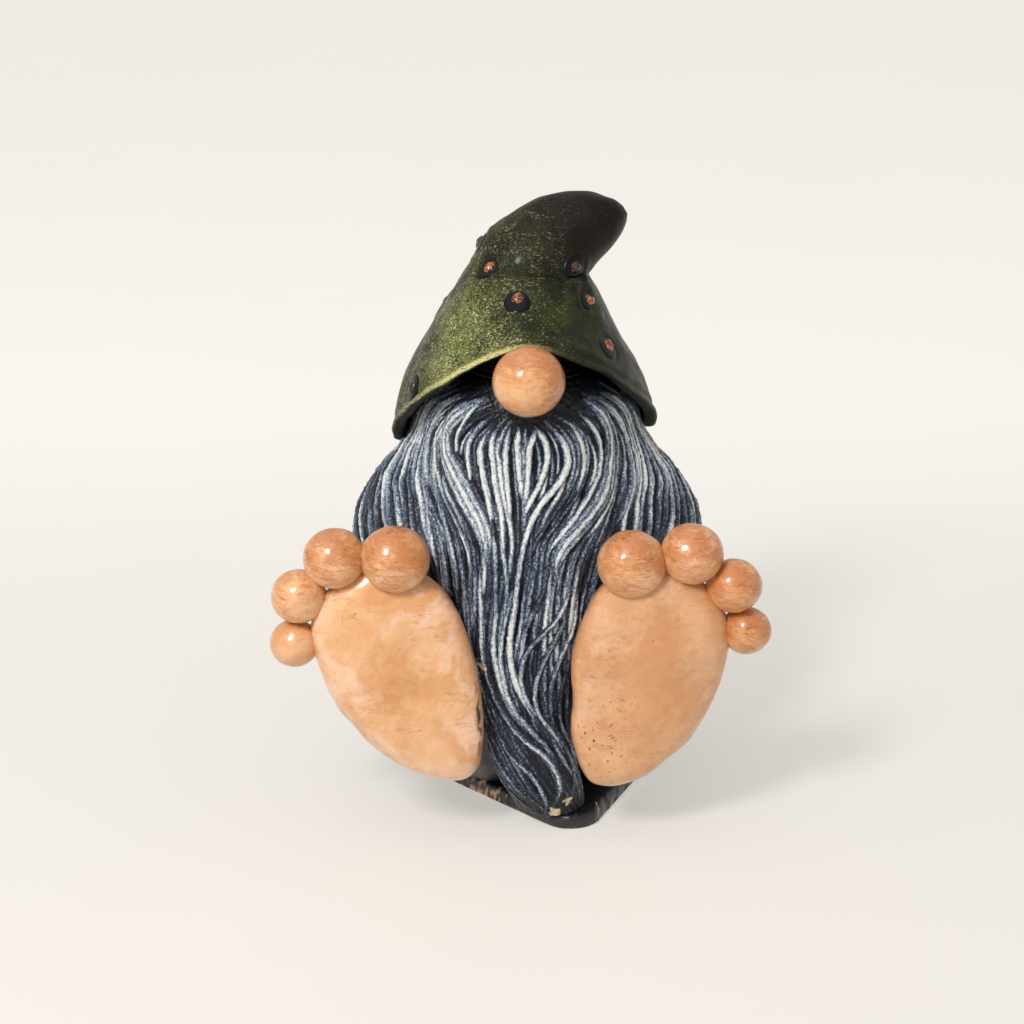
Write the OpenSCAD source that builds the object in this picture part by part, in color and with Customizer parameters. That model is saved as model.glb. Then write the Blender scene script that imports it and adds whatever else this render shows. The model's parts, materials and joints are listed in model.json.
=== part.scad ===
// Seated gnome figurine: a cast body on a foot slab, with a hollow bent hat, a laid-on beard and
// side hair, a ball nose and two bare feet with ball toes. Every piece is set on its neighbour with
// a round peg or a matching seat, and a thin glue line is left between them.
// Millimetres. +Z is up, the gnome faces -Y, and the origin is the middle of the slab's underside.
// "left" and "right" are the gnome's own: its left foot is on +X.

/* [Base] */
// Radius of the round part of the foot slab
base_r = 30; // [28:0.5:33]
// Sideways place of the slab's round part
base_x = 4; // [2:0.5:6]
// Thickness of the foot slab
base_t = 4; // [3:0.5:6]
// Distance of the front lobe's middle in front of the torso's foot
lobe_out = 10.5; // [8:0.5:13]
// Radius of the slab's front lobe
lobe_r = 8; // [6:0.5:10]
// Sideways place of the slab's front lobe
lobe_x = 11; // [4:0.5:14]

/* [Torso] */
// Radius of the torso where it stands on the slab
torso_foot_r = 29; // [27:0.5:33]
// Largest radius of the torso
belly_r = 41; // [37:0.5:46]
// Height of the largest radius
belly_z = 38; // [30:1:46]
// Radius of the shoulders
shoulder_r = 40; // [36:0.5:43]
// Height of the shoulders
shoulder_z = 69; // [63:1:73]
// Space round the neck inside the hat's side brim
neck_gap = 5; // [4:0.5:7]

/* [Hat] */
// Outside width of the brim
hat_w = 69; // [64:0.5:78]
// Height of the brim at the sides
brim_side_z = 92; // [90:0.5:97]
// Height of the brim's left side above its right side
brim_tilt = 3.5; // [0:0.5:5]
// Height of the nose's top that is tucked under the brim
nose_tuck = 1; // [0.5:0.25:2]
// Height of the brim at the back
brim_back_z = 82; // [78:0.5:88]
// Reach of the brim over the nose, past its reach to the sides
brim_peak = 3.5; // [0:0.5:6]
// Wall of the hat at the brim
hat_wall = 3.5; // [2.5:0.25:4.5]
// Height of the hat's top
hat_top_z = 154; // [149:0.5:165]
// Reach of the bent tip to the side
tip_x = 25.6; // [22:0.5:32]
// Sideways place of the brim's middle
hat_x = -1; // [-3:0.5:3]
// Sideways place of the crease under the bent tip
crease_x = 15.7; // [13:0.1:18]
// Height of the hat's top above the crease
tip_rise = 21; // [17:0.5:24]

/* [Hat dots] */
// Diameter of a painted dot
dot_d = 7.4; // [5:0.2:9]
// Thickness of a dot
dot_t = 0.9; // [0.6:0.1:1.4]
// Depth of the dot's face below the hat
dot_sink = 0.3; // [0.1:0.1:0.8]
// Diameter of the copper bead
bead_d = 4.2; // [3:0.2:5]
// Height of the copper bead above the dot
bead_h = 1.5; // [1:0.1:2.2]
// Diameter of the bead's shank
shank_d = 1.8; // [1.2:0.2:2.4]
// Length of the bead's shank behind the dot
shank_l = 1.2; // [0.8:0.1:1.6]

/* [Nose] */
// Diameter of the nose
nose_d = 18; // [15:0.5:20]
// Height of the nose's middle
nose_z = 115; // [111:0.5:118]
// Distance of the nose's middle in front of the axis
nose_y = 39; // [36:0.5:42]
// Diameter of the nose's peg
nose_peg_d = 6; // [4:0.5:8]

/* [Feet] */
// Width of a sole across the ball
sole_w = 36; // [31:0.5:40]
// Length of the right sole and of the left sole
sole_l = [60, 59];
// Thickness of a foot, from the sole's crown to the flat back
foot_t = 18; // [15:0.5:21]
// Depth that the feet's flat backs are set behind the belly's front
foot_bite = 1; // [0:0.5:2]
// Height of the lowest point of the heels
heel_z = 13; // [10:0.5:15]
// Distance from the middle to the right foot and to the left foot, at half their height
foot_gap = [12.8, 10.6];
// Distance that a heel bends towards the other foot
heel_in = 6; // [3:0.5:8]
// Outward lean of the right foot and of the left foot, in degrees
foot_lean = [17, 8];
// Distance that the sides of a leg are set in from the sole's
leg_inset = 3; // [2:0.25:5]
// Diameter of the leg's peg in the foot
leg_peg_d = 12; // [8:0.5:14]
// Length of the leg's peg
leg_peg_l = 7; // [5:0.5:8]

/* [Toes] */
// Diameters of the four toes, from the big toe outwards
toe_d = [16.8, 15.2, 13.6, 12.2];
// Depth that each toe sits in the foot
toe_sink = [6, 2.2, 1.6, 1.6];
// Place of each toe round the sole, in degrees from the foot's outer side
toe_turn = [110.5, 78, 51, 27];
// Diameter of a toe's peg
toe_peg_d = 4; // [3:0.5:5]
// Length of a toe's peg, from the ball's surface
toe_peg_l = 6; // [4:0.5:7]

/* [Beard] */
// Thickness of the side hair at the shoulders
hair_t = 5.4; // [4:0.2:7]
// Thickness of the beard between the feet
beard_t = 8; // [7.2:0.2:9]
// Angle from the front at which the side hair ends
hair_end = 118; // [100:1:135]

/* [Fit] */
// Glue line between two pieces
glue = 0.2; // [0.1:0.05:0.4]
// Clearance round a peg in its hole
peg_clear = 0.1; // [0.05:0.05:0.2]

/* [Hidden] */
DOTS = 13;
TOES = 4;
SIDES = ["right", "left"];

black = "#15161c";
navy = "#262b3d";
hair_grey = "#5d6478";
green = "#4a5424";
skin = "#d9a47c";
copper = "#b06a3c";

// A smooth curve y(x) through the rows [x, y] of a table, by cubic pieces. y may be a vector.
function row_at(t, x, i = 0) = i >= len(t) - 2 || x < t[i + 1][0] ? i : row_at(t, x, i + 1);
function chord(t, i, j) = (t[j][1] - t[i][1]) / (t[j][0] - t[i][0]);
function slope_at(t, i) = chord(t, max(i - 1, 0), min(i + 1, len(t) - 1));
function curve(t, x) =
    let (i = row_at(t, x), w = t[i + 1][0] - t[i][0], s = max(0, min(1, (x - t[i][0]) / w)))
    t[i][1] * (1 + 2 * s) * pow(1 - s, 2) + slope_at(t, i) * w * s * pow(1 - s, 2)
    + t[i + 1][1] * s * s * (3 - 2 * s) + slope_at(t, i + 1) * w * s * s * (s - 1);

function steps(a, b, n) = [for (i = [0:n]) a + (b - a) * i / n];
function unit(v) = v / norm(v);
function polar(r, a, z) = [r * sin(a), -r * cos(a), z]; // a is measured from the front

function sum(v, i = 0) = i < len(v) - 1 ? v[i] + sum(v, i + 1) : v[i];
function middle(ring) = sum(ring) / len(ring);

// A closed solid from rings of points: each end is a fan about its middle.
module loft(rings) {
    n = len(rings[0]);
    last = (len(rings) - 1) * n;
    centre = len(rings) * n;
    polyhedron(
        concat([for (r = rings) each r], [middle(rings[0]), middle(rings[len(rings) - 1])]),
        concat(walls(rings),
            [for (j = [0:n - 1]) [centre, j, (j + 1) % n]],
            [for (j = [0:n - 1]) [centre + 1, last + (j + 1) % n, last + j]]));
}

// A closed slab from rings that run out along its outside and back along its inside.
module slab(rings) {
    n = len(rings[0]);
    last = (len(rings) - 1) * n;
    rungs = [for (j = [0:n / 2 - 2]) [j, j + 1, n - 2 - j, n - 1 - j]];
    polyhedron(
        [for (r = rings) each r],
        concat(walls(rings),
            [for (q = rungs) each [[q[0], q[1], q[2]], [q[0], q[2], q[3]]]],
            [for (q = rungs) each [[last + q[0], last + q[2], last + q[1]],
                [last + q[0], last + q[3], last + q[2]]]]));
}

// The triangles between neighbouring rings.
function walls(rings) =
    let (n = len(rings[0]))
    [for (i = [0:len(rings) - 2], j = [0:n - 1])
        let (a = i * n + j, b = i * n + (j + 1) % n)
        each [[a, b + n, b], [a, a + n, b + n]]];

// ---- sizes that follow from the ones above ----
brim_front_z = nose_z + nose_d / 2 - nose_tuck;
ceiling_z = brim_front_z + 1;
crown_z = ceiling_z - glue;
crease_z = hat_top_z - tip_rise;
neck_r = hat_w / 2 - hat_wall - neck_gap;
crown_r = neck_r * 0.423;
leg_d = sole_w - 2 * leg_inset;
lobe_reach = torso_foot_r + lobe_out;
foot_back_y = belly_r - foot_bite;

// ---- torso ----
torso_profile = [
    [base_t, torso_foot_r],
    [base_t + 12, torso_foot_r + (belly_r - torso_foot_r) * 0.72],
    [belly_z, belly_r],
    [shoulder_z, shoulder_r],
    [(shoulder_z + brim_side_z) / 2, (shoulder_r + neck_r) / 2 + 0.8],
    [brim_side_z, neck_r],
    [(brim_side_z + ceiling_z) / 2, neck_r * 0.827],
    [crown_z, crown_r]];
function torso_r(z) = curve(torso_profile, z);

module torso_form(grow = 0) {
    rotate_extrude($fn = 96)
        polygon(concat(
            [[0, base_t - grow]],
            [for (z = steps(base_t, crown_z, 30)) [torso_r(z) + grow, z]],
            [[0, crown_z]]));
}

module torso() {
    color(black) difference() {
        torso_form();
        translate([0, 0, base_t - 1])
            cylinder(h = glue + 1, r = torso_foot_r + 1);
        nose_peg(peg_clear);
    }
}

// ---- foot slab ----
module base_slab() {
    color(black) linear_extrude(base_t)
        hull() {
            translate([base_x, 0])
                circle(r = base_r, $fn = 72);
            translate([lobe_x, -lobe_reach])
                circle(r = lobe_r, $fn = 36);
        }
}

// ---- hat ----
HAT_TURNS = 40;
brim_r = hat_w / 2;
side_rise = crease_z - brim_side_z;
tip_run = tip_x - crease_x;
function left_x(share) = hat_x - brim_r * share;
function right_x(share) = hat_x + brim_r * share;
function side_z(share) = brim_side_z + side_rise * share;
function under_x(share) = crease_x + tip_run * share;
function tip_z(share) = crease_z + tip_rise * share;
// Sections of the hat, as rows of [place along it, [left x, left z, right x, right z, half depth]].
hat_sections = [
    [0.00, [left_x(1), side_z(0), right_x(1), side_z(0), brim_r]],
    [0.15, [left_x(0.9), side_z(0.31), right_x(0.875), side_z(0.31), brim_r * 0.88]],
    [0.30, [left_x(0.76), side_z(0.6), right_x(0.72), side_z(0.6), brim_r * 0.75]],
    [0.45, [left_x(0.53), side_z(0.91), under_x(0.1), side_z(0.94), brim_r * 0.58]],
    [0.55, [left_x(0.38), tip_z(0.19), under_x(0), tip_z(0.02), brim_r * 0.48]],
    [0.65, [left_x(0.25), tip_z(0.55), under_x(0.14), tip_z(0.12), brim_r * 0.4]],
    [0.75, [left_x(0.045), tip_z(0.8), under_x(0.36), tip_z(0.23), brim_r * 0.325]],
    [0.85, [tip_x * 0.25, tip_z(0.955), under_x(0.62), tip_z(0.36), brim_r * 0.253]],
    [0.93, [tip_x * 0.585, tip_z(1), under_x(0.84), tip_z(0.5), brim_r * 0.19]],
    [0.98, [tip_x * 0.83, tip_z(0.93), under_x(0.98), tip_z(0.65), brim_r * 0.115]],
    [1.00, [tip_x * 0.94, tip_z(0.84), under_x(1), tip_z(0.74), brim_r * 0.05]]];
BRIM_FADE = 0.6;  // place along the hat at which the brim's rise and drop have died out
BRIM_SLOPE = 0.34;  // how far the hat widens for each millimetre down
// The brim's height against its sides: it arches over the nose.
function front_of(a) = max(0, -sin(a));
function back_of(a) = max(0, sin(a));
function brim_drop(a) = (brim_side_z - brim_back_z) * back_of(a);
function brim_lift(a) =
    (brim_front_z - brim_side_z) * pow(front_of(a), 2.75 - 1.55 * abs(cos(a)))
    + brim_tilt / 2 * cos(a) - brim_drop(a);
function fade(u) = pow(max(0, 1 - u / BRIM_FADE), 1.2);
// The hat's outside at place u along it and angle a round it: 0 is +X and 90 is the back. Where the
// brim drops at the back it goes on outwards along the hat's slope.
function hat_point(u, a) =
    let (s = curve(hat_sections, u), out = BRIM_SLOPE * brim_drop(a) * fade(u),
         reach = s[4] + brim_peak * fade(u) * front_of(a))
    [(s[0] + s[2]) / 2 + ((s[2] - s[0]) / 2 + out) * cos(a), (reach + out) * sin(a),
     (s[1] + s[3]) / 2 + (s[3] - s[1]) / 2 * cos(a) + brim_lift(a) * fade(u)];
function hat_normal(u, a) =
    let (across = hat_point(u, a + 1) - hat_point(u, a - 1),
         along = hat_point(u + 0.01, a) - hat_point(u - 0.01, a))
    unit(cross(across, along));
// The hat's inside, from the brim (v = 0) to the rim of the flat ceiling (v = 1).
ceiling_r = crown_r + 3;
function hat_inside(v, a) =
    let (rim = hat_point(0, a), in = 1 - hat_wall / norm([rim[0], rim[1]]), e = pow(v, 1.5))
    [rim[0] * in * (1 - e) + ceiling_r * cos(a) * e,
     rim[1] * in * (1 - e) + ceiling_r * sin(a) * e,
     rim[2] * (1 - v) + ceiling_z * v];

hat_turns = [for (j = [0:HAT_TURNS - 1]) 360 * j / HAT_TURNS];
module hat_form() {
    loft(concat(
        [for (v = steps(1, 0, 8)) [for (a = hat_turns) hat_inside(v, a)]],
        [for (u = concat(steps(0, 0.9, 20), steps(0.93, 1, 4))) [for (a = hat_turns) hat_point(u, a)]]));
}

module hat() {
    color(green) difference() {
        hat_form();
        nose_seat();
        for (i = [0:DOTS - 1])
            at_dot(i) {
                translate([0, 0, -dot_sink - dot_t - glue])
                    cylinder(h = dot_sink + dot_t + glue + 2, d = dot_d + 2 * peg_clear, $fn = 36);
                translate([0, 0, -dot_sink - dot_t - glue - shank_l])
                    cylinder(h = shank_l + 1, d = shank_d + 2 * peg_clear, $fn = 24);
            }
    }
}

// ---- hat dots ----
// [place along the hat, angle round it] of each dot.
dot_places = [
    [0.34, 268], [0.54, 224], [0.6, 178], [0.64, 308], [0.38, 321], [0.18, 316], [0.075, 213],
    [0.16, 14], [0.38, 36], [0.14, 72], [0.34, 98], [0.16, 136], [0.4, 160]];
module at_dot(i) {
    p = hat_point(dot_places[i][0], dot_places[i][1]);
    n = hat_normal(dot_places[i][0], dot_places[i][1]);
    translate(p)
        rotate([0, acos(n[2]), atan2(n[1], n[0])])
            children();
}

module hat_dot(i) {
    color(navy) at_dot(i)
        translate([0, 0, -dot_sink - dot_t])
            difference() {
                cylinder(h = dot_t, d = dot_d, $fn = 36);
                translate([0, 0, -1])
                    cylinder(h = dot_t + 2, d = shank_d + 2 * peg_clear, $fn = 24);
            }
}

module hat_bead(i) {
    dome_r = (bead_d * bead_d / 4 + bead_h * bead_h) / (2 * bead_h);
    color(copper) at_dot(i)
        translate([0, 0, -dot_sink]) {
            intersection() {
                translate([0, 0, bead_h - dome_r])
                    sphere(r = dome_r, $fn = 36);
                translate([0, 0, glue / 2])
                    cylinder(h = bead_h, d = bead_d, $fn = 36);
            }
            translate([0, 0, -dot_t - shank_l])
                cylinder(h = dot_t + shank_l + bead_h / 2, d = shank_d, $fn = 24);
        }
}

// ---- nose ----
nose_peg_back = nose_y - torso_r(nose_z) + 6;
module nose_peg(grow = 0) {
    translate([0, -nose_y + nose_peg_back + grow, nose_z])
        rotate([90, 0, 0])
            cylinder(h = nose_peg_back + grow, d = nose_peg_d + 2 * grow, $fn = 36);
}

module nose_seat() {
    translate([0, -nose_y, nose_z])
        rotate([0, 90, 0])
            sphere(d = nose_d + 2 * glue, $fn = 72);
}

module nose() {
    color(skin) union() {
        translate([0, -nose_y, nose_z])
            sphere(d = nose_d, $fn = 72);
        nose_peg();
    }
}

// ---- hair ----
// Rows of [height, distance from the middle] for the beard's two edges. Between the feet they follow
// the feet's inner sides.
beard_left_edge = [
    [base_t, 15], [11, 14], [19, foot_gap[1] + 1.5], [29, foot_gap[1] - 0.4], [41, foot_gap[1] + 0.1],
    [53, foot_gap[1] + 2.8], [65, 17.8], [77, 21.7], [89, 22.2], [101, 20.4], [112, 15.4], [123, 7]];
beard_right_edge = [
    [base_t, 3], [11, 6.5], [19, foot_gap[0] - 3.2], [29, foot_gap[0] - 1.4], [41, foot_gap[0] + 1],
    [53, foot_gap[0] + 3.2], [65, 19.2], [77, 22.4], [89, 22.2], [101, 20.4], [112, 15.4], [123, 7]];
beard_top_z = brim_front_z - 2;
// Rows of [height, [thickness in the middle, thickness at the edges]] of the beard.
beard_depth = [
    [base_t, [beard_t + 12, beard_t + 5]], [10, [beard_t + 9, beard_t + 2]],
    [18, [beard_t + 3.5, beard_t - 1]], [29, [beard_t + 0.5, beard_t - 2.5]],
    [42, [beard_t - 0.5, beard_t - 3]], [58, [beard_t - 0.5, beard_t - 3]],
    [70, [beard_t, beard_t - 2.5]], [80, [beard_t + 1.5, beard_t - 2]],
    [90, [beard_t + 4.5, beard_t - 1.5]], [100, [beard_t + 6, beard_t - 2]],
    [108, [beard_t + 6, beard_t - 4.5]], [115, [beard_t + 3, beard_t - 6.5]],
    [122, [beard_t - 2, beard_t - 6.8]]];

// The angle from the front of an edge that lies at a given distance from the middle.
function edge_angle(edge, z) = asin(curve(edge, z) / (torso_r(z) + curve(beard_depth, z)[1]));

// One ring of a hair slab: out along the outside from s = 0 to 1, and back along the inside.
function slab_ring(n, outside, inside) =
    concat([for (s = steps(0, 1, n)) outside(s)], [for (s = steps(1, 0, n)) inside(s)]);

function beard_ring(z) =
    let (a = -edge_angle(beard_right_edge, z), b = edge_angle(beard_left_edge, z), t = curve(beard_depth, z),
         r = torso_r(z) + glue)
    slab_ring(14,
        function (s) polar(r + t[1] + (t[0] - t[1]) * (1 - pow(abs(2 * s - 1), 2.4)), a + (b - a) * s, z),
        function (s) polar(r, a + (b - a) * s, z));

module beard() {
    color(hair_grey) difference() {
        slab([for (z = steps(base_t + glue, beard_top_z, 30)) beard_ring(z)]);
        nose_peg(peg_clear);
        nose_seat();
    }
}

// Side hair: side is 1 for the gnome's left and -1 for its right. Along a row, s runs from the beard's
// edge (0) round to the back (1). Across the rows, v runs from the lower edge (0) to the upper (1).
hair_top = [[0, 112], [0.3, 104], [0.65, 97], [1, 92]];
hair_bottom = [[0, 60], [0.4, 52], [0.7, 47], [1, 47]];
// Rows of [height, thickness] of the side hair.
hair_depth = [
    [47, hair_t * 0.7], [57, hair_t * 0.9], [66, hair_t], [82, hair_t], [87, hair_t * 0.68],
    [91, hair_t * 0.6], [99, hair_t * 0.7], [112, hair_t * 0.5]];
PART_GAP = 0.6;  // angle left between the beard and the side hair
function hair_point(v, s, side, depth) =
    let (low = curve(hair_bottom, s), z = low + (curve(hair_top, s) - low) * v,
         low0 = hair_bottom[0][1], z0 = low0 + (hair_top[0][1] - low0) * v,
         first = edge_angle(side > 0 ? beard_left_edge : beard_right_edge, z0) + PART_GAP,
         near = pow(1 - s, 3), end = sqrt(min(1, (1 - s) * 7)),
         t = curve(beard_depth, z)[1] * near + curve(hair_depth, z) * (1 - near))
    polar(torso_r(z) + glue + depth * t * (0.3 + 0.7 * end), side * (first + (hair_end - first) * s), z);
function hair_ring(v, side) =
    slab_ring(18,
        function (s) hair_point(v, side > 0 ? s : 1 - s, side, 1),
        function (s) hair_point(v, side > 0 ? s : 1 - s, side, 0));

module hair(side) {
    color(hair_grey)
        slab([for (v = steps(0, 1, 20)) hair_ring(v, side)]);
}

// ---- feet ----
FOOT_TURNS = 36;
foot_front = foot_t * 0.42;  // depth of the sole's crown, in front of the widest section
foot_rear = foot_t - foot_front;
ROUND = 2.6;  // how full a foot's section is: 2 is an ellipse
sides = [-1, 1];  // the right foot is on -X
function foot_middle(k) =
    [sides[k] * (foot_gap[k] + sole_w / 2), heel_z + sole_l[k] / 2];
// The sole's outline in the foot's own plane: an egg that is fuller towards the toes, most of all on
// the outer side, and whose heel bends to the inner side.
function sole_point(k, a) =
    let (up = max(0, sin(a)), down = max(0, -sin(a)), full = cos(a) > 0 ? 0.4 : 0.17)
    [sides[k] * (sole_w / 2 * cos(a) * (1 + full * up - 0.17 * down) - heel_in * down * down),
     sole_l[k] / 2 * sin(a)];
function power(x, p) = sign(x) * pow(abs(x), p);
function foot_ring(k, t) =
    let (q = pow(cos(t), 2 / ROUND), y = power(sin(t), 2 / ROUND) * (t > 0 ? foot_front : foot_rear))
    [for (j = [0:FOOT_TURNS - 1])
        let (p = sole_point(k, sides[k] * 360 * j / FOOT_TURNS))
        [p[0] * q, -y, p[1] * q]];

module in_foot(k) {
    translate([foot_middle(k)[0], -foot_back_y - foot_rear, foot_middle(k)[1]])
        rotate([0, sides[k] * foot_lean[k], 0])
            children();
}

LEG_DOWN = 7;  // how far the leg's axis is below the foot's middle
module leg_axis(k) {
    in_foot(k)
        translate([0, foot_rear, -LEG_DOWN])
            rotate([90, 0, 0])
                children();
}

function toe_place(k, i) =
    let (p = sole_point(k, toe_turn[i]), out = (toe_d[i] / 2 - toe_sink[i]) / norm(p))
    [p[0] * (1 + out), 2 - i * 0.8, p[1] * (1 + out)];

// A toe's own frame: its middle, with +X away from the foot and +Z to the front.
module in_toe(k, i) {
    p = toe_place(k, i);
    in_foot(k) translate([p[0], -p[1], p[2]])
        rotate([90, 0, 0])
            rotate([0, 0, atan2(p[2], p[0])])
                children();
}
module toe_ball(k, i, grow = 0) {
    in_toe(k, i)
        sphere(d = toe_d[i] + 2 * grow, $fn = 60);
}
module toe_peg(k, i, grow = 0) {
    in_toe(k, i)
        rotate([0, -90, 0])
            cylinder(h = toe_d[i] / 2 + toe_peg_l + grow, d = toe_peg_d + 2 * grow, $fn = 24);
}

module toe(k, i) {
    color(skin) union() {
        difference() {
            toe_ball(k, i);
            if (i > 0)
                toe_ball(k, i - 1, glue);
        }
        toe_peg(k, i);
    }
}

module foot(k) {
    color(skin) difference() {
        in_foot(k) intersection() {
            loft([for (t = concat([-82], steps(-76, 76, 14), [82])) foot_ring(k, t)]);
            translate([-sole_l[k], -foot_t, -sole_l[k]])
                cube([2 * sole_l[k], foot_t + foot_rear - glue, 2 * sole_l[k]]);
        }
        for (i = [0:TOES - 1]) {
            toe_ball(k, i, glue);
            toe_peg(k, i, peg_clear);
        }
        leg_axis(k)
            cylinder(h = leg_peg_l + glue, d = leg_peg_d + 2 * peg_clear, $fn = 48);
    }
}

module leg(k) {
    color(black) difference() {
        union() {
            leg_axis(k)
                translate([0, 0, -belly_r / 2])
                    cylinder(h = belly_r / 2, d = leg_d, $fn = 60);
            leg_axis(k)
                translate([0, 0, -1])
                    cylinder(h = leg_peg_l + 1, d = leg_peg_d, $fn = 48);
        }
        torso_form(glue);
    }
}

base_slab();
torso();
hat();
nose();
beard();
hair(-1);  // hair_right
hair(1);  // hair_left
for (k = [0, 1]) {
    leg(k);
    foot(k);
    for (i = [0:TOES - 1])
        toe(k, i);
}
for (i = [0:DOTS - 1]) {
    hat_dot(i);
    hat_bead(i);
}
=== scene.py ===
"""Looks of a seated, hand-painted gnome figurine: a carved hat, beard and hair, ball nose and toes, bare
soles, coat and foot slab, each a surface worked out with numpy and placed by the frame.

Shapes are worked out in millimetres, and become metres as they are made into meshes. The gnome faces -Y,
and "left" is its own left, on +X. An angle round the body is measured from the front, towards +X.
"""

import json
import math

import bpy
import numpy as np
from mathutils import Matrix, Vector

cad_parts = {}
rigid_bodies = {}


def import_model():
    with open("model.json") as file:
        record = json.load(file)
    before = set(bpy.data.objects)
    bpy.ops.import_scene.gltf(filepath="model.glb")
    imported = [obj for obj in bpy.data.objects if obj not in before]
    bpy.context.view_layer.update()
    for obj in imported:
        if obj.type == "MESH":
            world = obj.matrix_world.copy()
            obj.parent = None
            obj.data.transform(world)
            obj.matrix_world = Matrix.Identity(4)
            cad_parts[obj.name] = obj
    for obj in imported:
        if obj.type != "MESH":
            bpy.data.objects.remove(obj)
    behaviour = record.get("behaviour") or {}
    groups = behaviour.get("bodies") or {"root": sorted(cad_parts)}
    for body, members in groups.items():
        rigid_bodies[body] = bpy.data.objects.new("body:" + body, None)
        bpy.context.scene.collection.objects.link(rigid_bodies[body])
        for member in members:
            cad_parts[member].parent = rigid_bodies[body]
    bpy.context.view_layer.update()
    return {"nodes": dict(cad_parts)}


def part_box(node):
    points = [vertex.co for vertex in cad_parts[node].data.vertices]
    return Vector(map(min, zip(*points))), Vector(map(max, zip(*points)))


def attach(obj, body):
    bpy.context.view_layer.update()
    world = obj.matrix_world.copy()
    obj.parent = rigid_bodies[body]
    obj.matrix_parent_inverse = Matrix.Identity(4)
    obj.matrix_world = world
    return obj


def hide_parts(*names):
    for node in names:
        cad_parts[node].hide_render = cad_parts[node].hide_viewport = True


MM = 0.001
SIDES = {"right": -1, "left": 1}
DOTS = 13
TOES = 4

for spare in list(bpy.data.objects):
    bpy.data.objects.remove(spare, do_unlink=True)
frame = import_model()


# ---- measuring the frame ----

def box(node):
    """A CAD node's lowest and highest corners, in millimetres."""
    low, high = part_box(node)
    return np.array(low) / MM, np.array(high) / MM


def corners(node):
    """All of a CAD node's vertices, in millimetres."""
    mesh = frame["nodes"][node].data
    points = np.empty(len(mesh.vertices) * 3)
    mesh.vertices.foreach_get("co", points)
    return points.reshape(-1, 3) / MM


def ball_of(node, away_from):
    """The middle and radius of the ball in a node: the sphere that fits best, by least squares, through
    the vertices of the third that lies farthest from a point."""
    points = corners(node)
    way = points.mean(0) - away_from
    reach = points @ way
    points = points[reach > np.quantile(reach, 0.67)]
    terms = np.column_stack([2 * points, np.ones(len(points))])
    middle_x, middle_y, middle_z, rest = np.linalg.lstsq(terms, (points ** 2).sum(1), rcond=None)[0]
    middle = np.array([middle_x, middle_y, middle_z])
    return middle, math.sqrt(rest + middle @ middle)


# ---- curves and uneven surfaces ----

def curve(rows, x):
    """A smooth curve through rows of [x, y]: cubic pieces, and the slope at a row is the slope from the
    row before it to the row after it. y may be a list."""
    at = np.array([row[0] for row in rows], float)
    value = np.array([row[1] for row in rows], float)
    before = np.maximum(np.arange(len(at)) - 1, 0)
    after = np.minimum(np.arange(len(at)) + 1, len(at) - 1)
    run = (at[after] - at[before]).reshape((-1,) + (1,) * (value.ndim - 1))
    slope = (value[after] - value[before]) / run
    x = np.clip(np.asarray(x, float), at[0], at[-1])
    i = np.clip(np.searchsorted(at, x, side="right") - 1, 0, len(at) - 2)
    width = at[i + 1] - at[i]
    k = (x - at[i]) / width
    if value.ndim > 1:
        width, k = width[..., None], k[..., None]
    return (value[i] * (1 + 2 * k) * (1 - k) ** 2 + slope[i] * width * k * (1 - k) ** 2
            + value[i + 1] * k * k * (3 - 2 * k) + slope[i + 1] * width * k * k * (k - 1))


def ease(x):
    """A smooth step: 0 below 0, 1 above 1, and flat at both ends."""
    x = np.clip(x, 0, 1)
    return x * x * (3 - 2 * x)


def hump(x, middle, half):
    """A smooth hump of height 1 at the middle that ends half a width away on each side."""
    return ease(1 - np.abs((x - middle) / half))


def unevenness(points, length, seed, waves=20):
    """A smooth random height of about -1 to 1: plane waves of about one length in random directions,
    added up."""
    rng = np.random.default_rng(seed)
    way = rng.normal(size=(waves, 3))
    way *= 2 * math.pi / length * rng.uniform(0.6, 1.5, (waves, 1)) / np.linalg.norm(way, axis=1)[:, None]
    return np.sin(points @ way.T + rng.uniform(0, 2 * math.pi, waves)).sum(-1) / math.sqrt(waves)


def full_turn(count):
    """Angles spaced evenly round a circle."""
    return np.linspace(0, 2 * math.pi, count, endpoint=False)


def sheet(down, across):
    """Two grids: one that changes from row to row, and one that changes from column to column."""
    return np.meshgrid(down, across, indexing="ij")


def normals(grid, ring=True):
    """Unit vectors at right angles to a grid of points: the cross product of its steps along the rows
    and across them. A ring's columns run on past its last one."""
    wide = np.concatenate([grid[:, -1:], grid, grid[:, :1]], 1) if ring else grid
    across = np.gradient(wide, axis=1)
    along = np.gradient(wide, axis=0)
    if ring:
        across, along = across[:, 1:-1], along[:, 1:-1]
    up = np.cross(across, along)
    return up / np.maximum(np.linalg.norm(up, axis=-1, keepdims=True), 1e-9)


# ---- from grids to meshes ----

def grid_faces(rows, columns, ring=True):
    """The quads between neighbouring rows of a grid. A ring's last column joins its first."""
    i = np.arange(rows - 1)[:, None] * columns
    j = np.arange(columns if ring else columns - 1)[None, :]
    k = (j + 1) % columns
    return np.stack(np.broadcast_arrays(i + j, i + k, i + columns + k, i + columns + j), -1).reshape(-1, 4)


def capped(rings):
    """A closed surface from rings of points: quads between the rings, and a fan of triangles to the
    middle of the first ring and of the last."""
    rows, columns = rings.shape[:2]
    points = np.concatenate([rings.reshape(-1, 3), rings[:1].mean(1), rings[-1:].mean(1)])
    j = np.arange(columns)
    k = (j + 1) % columns
    last = (rows - 1) * columns
    first_fan = np.stack([k, j, np.full(columns, rows * columns)], -1)
    last_fan = np.stack([last + j, last + k, np.full(columns, rows * columns + 1)], -1)
    return points, grid_faces(rows, columns), np.concatenate([first_fan, last_fan])


INNER_STEP = 4  # outside columns of a shell for each column of its plain inside


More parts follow.
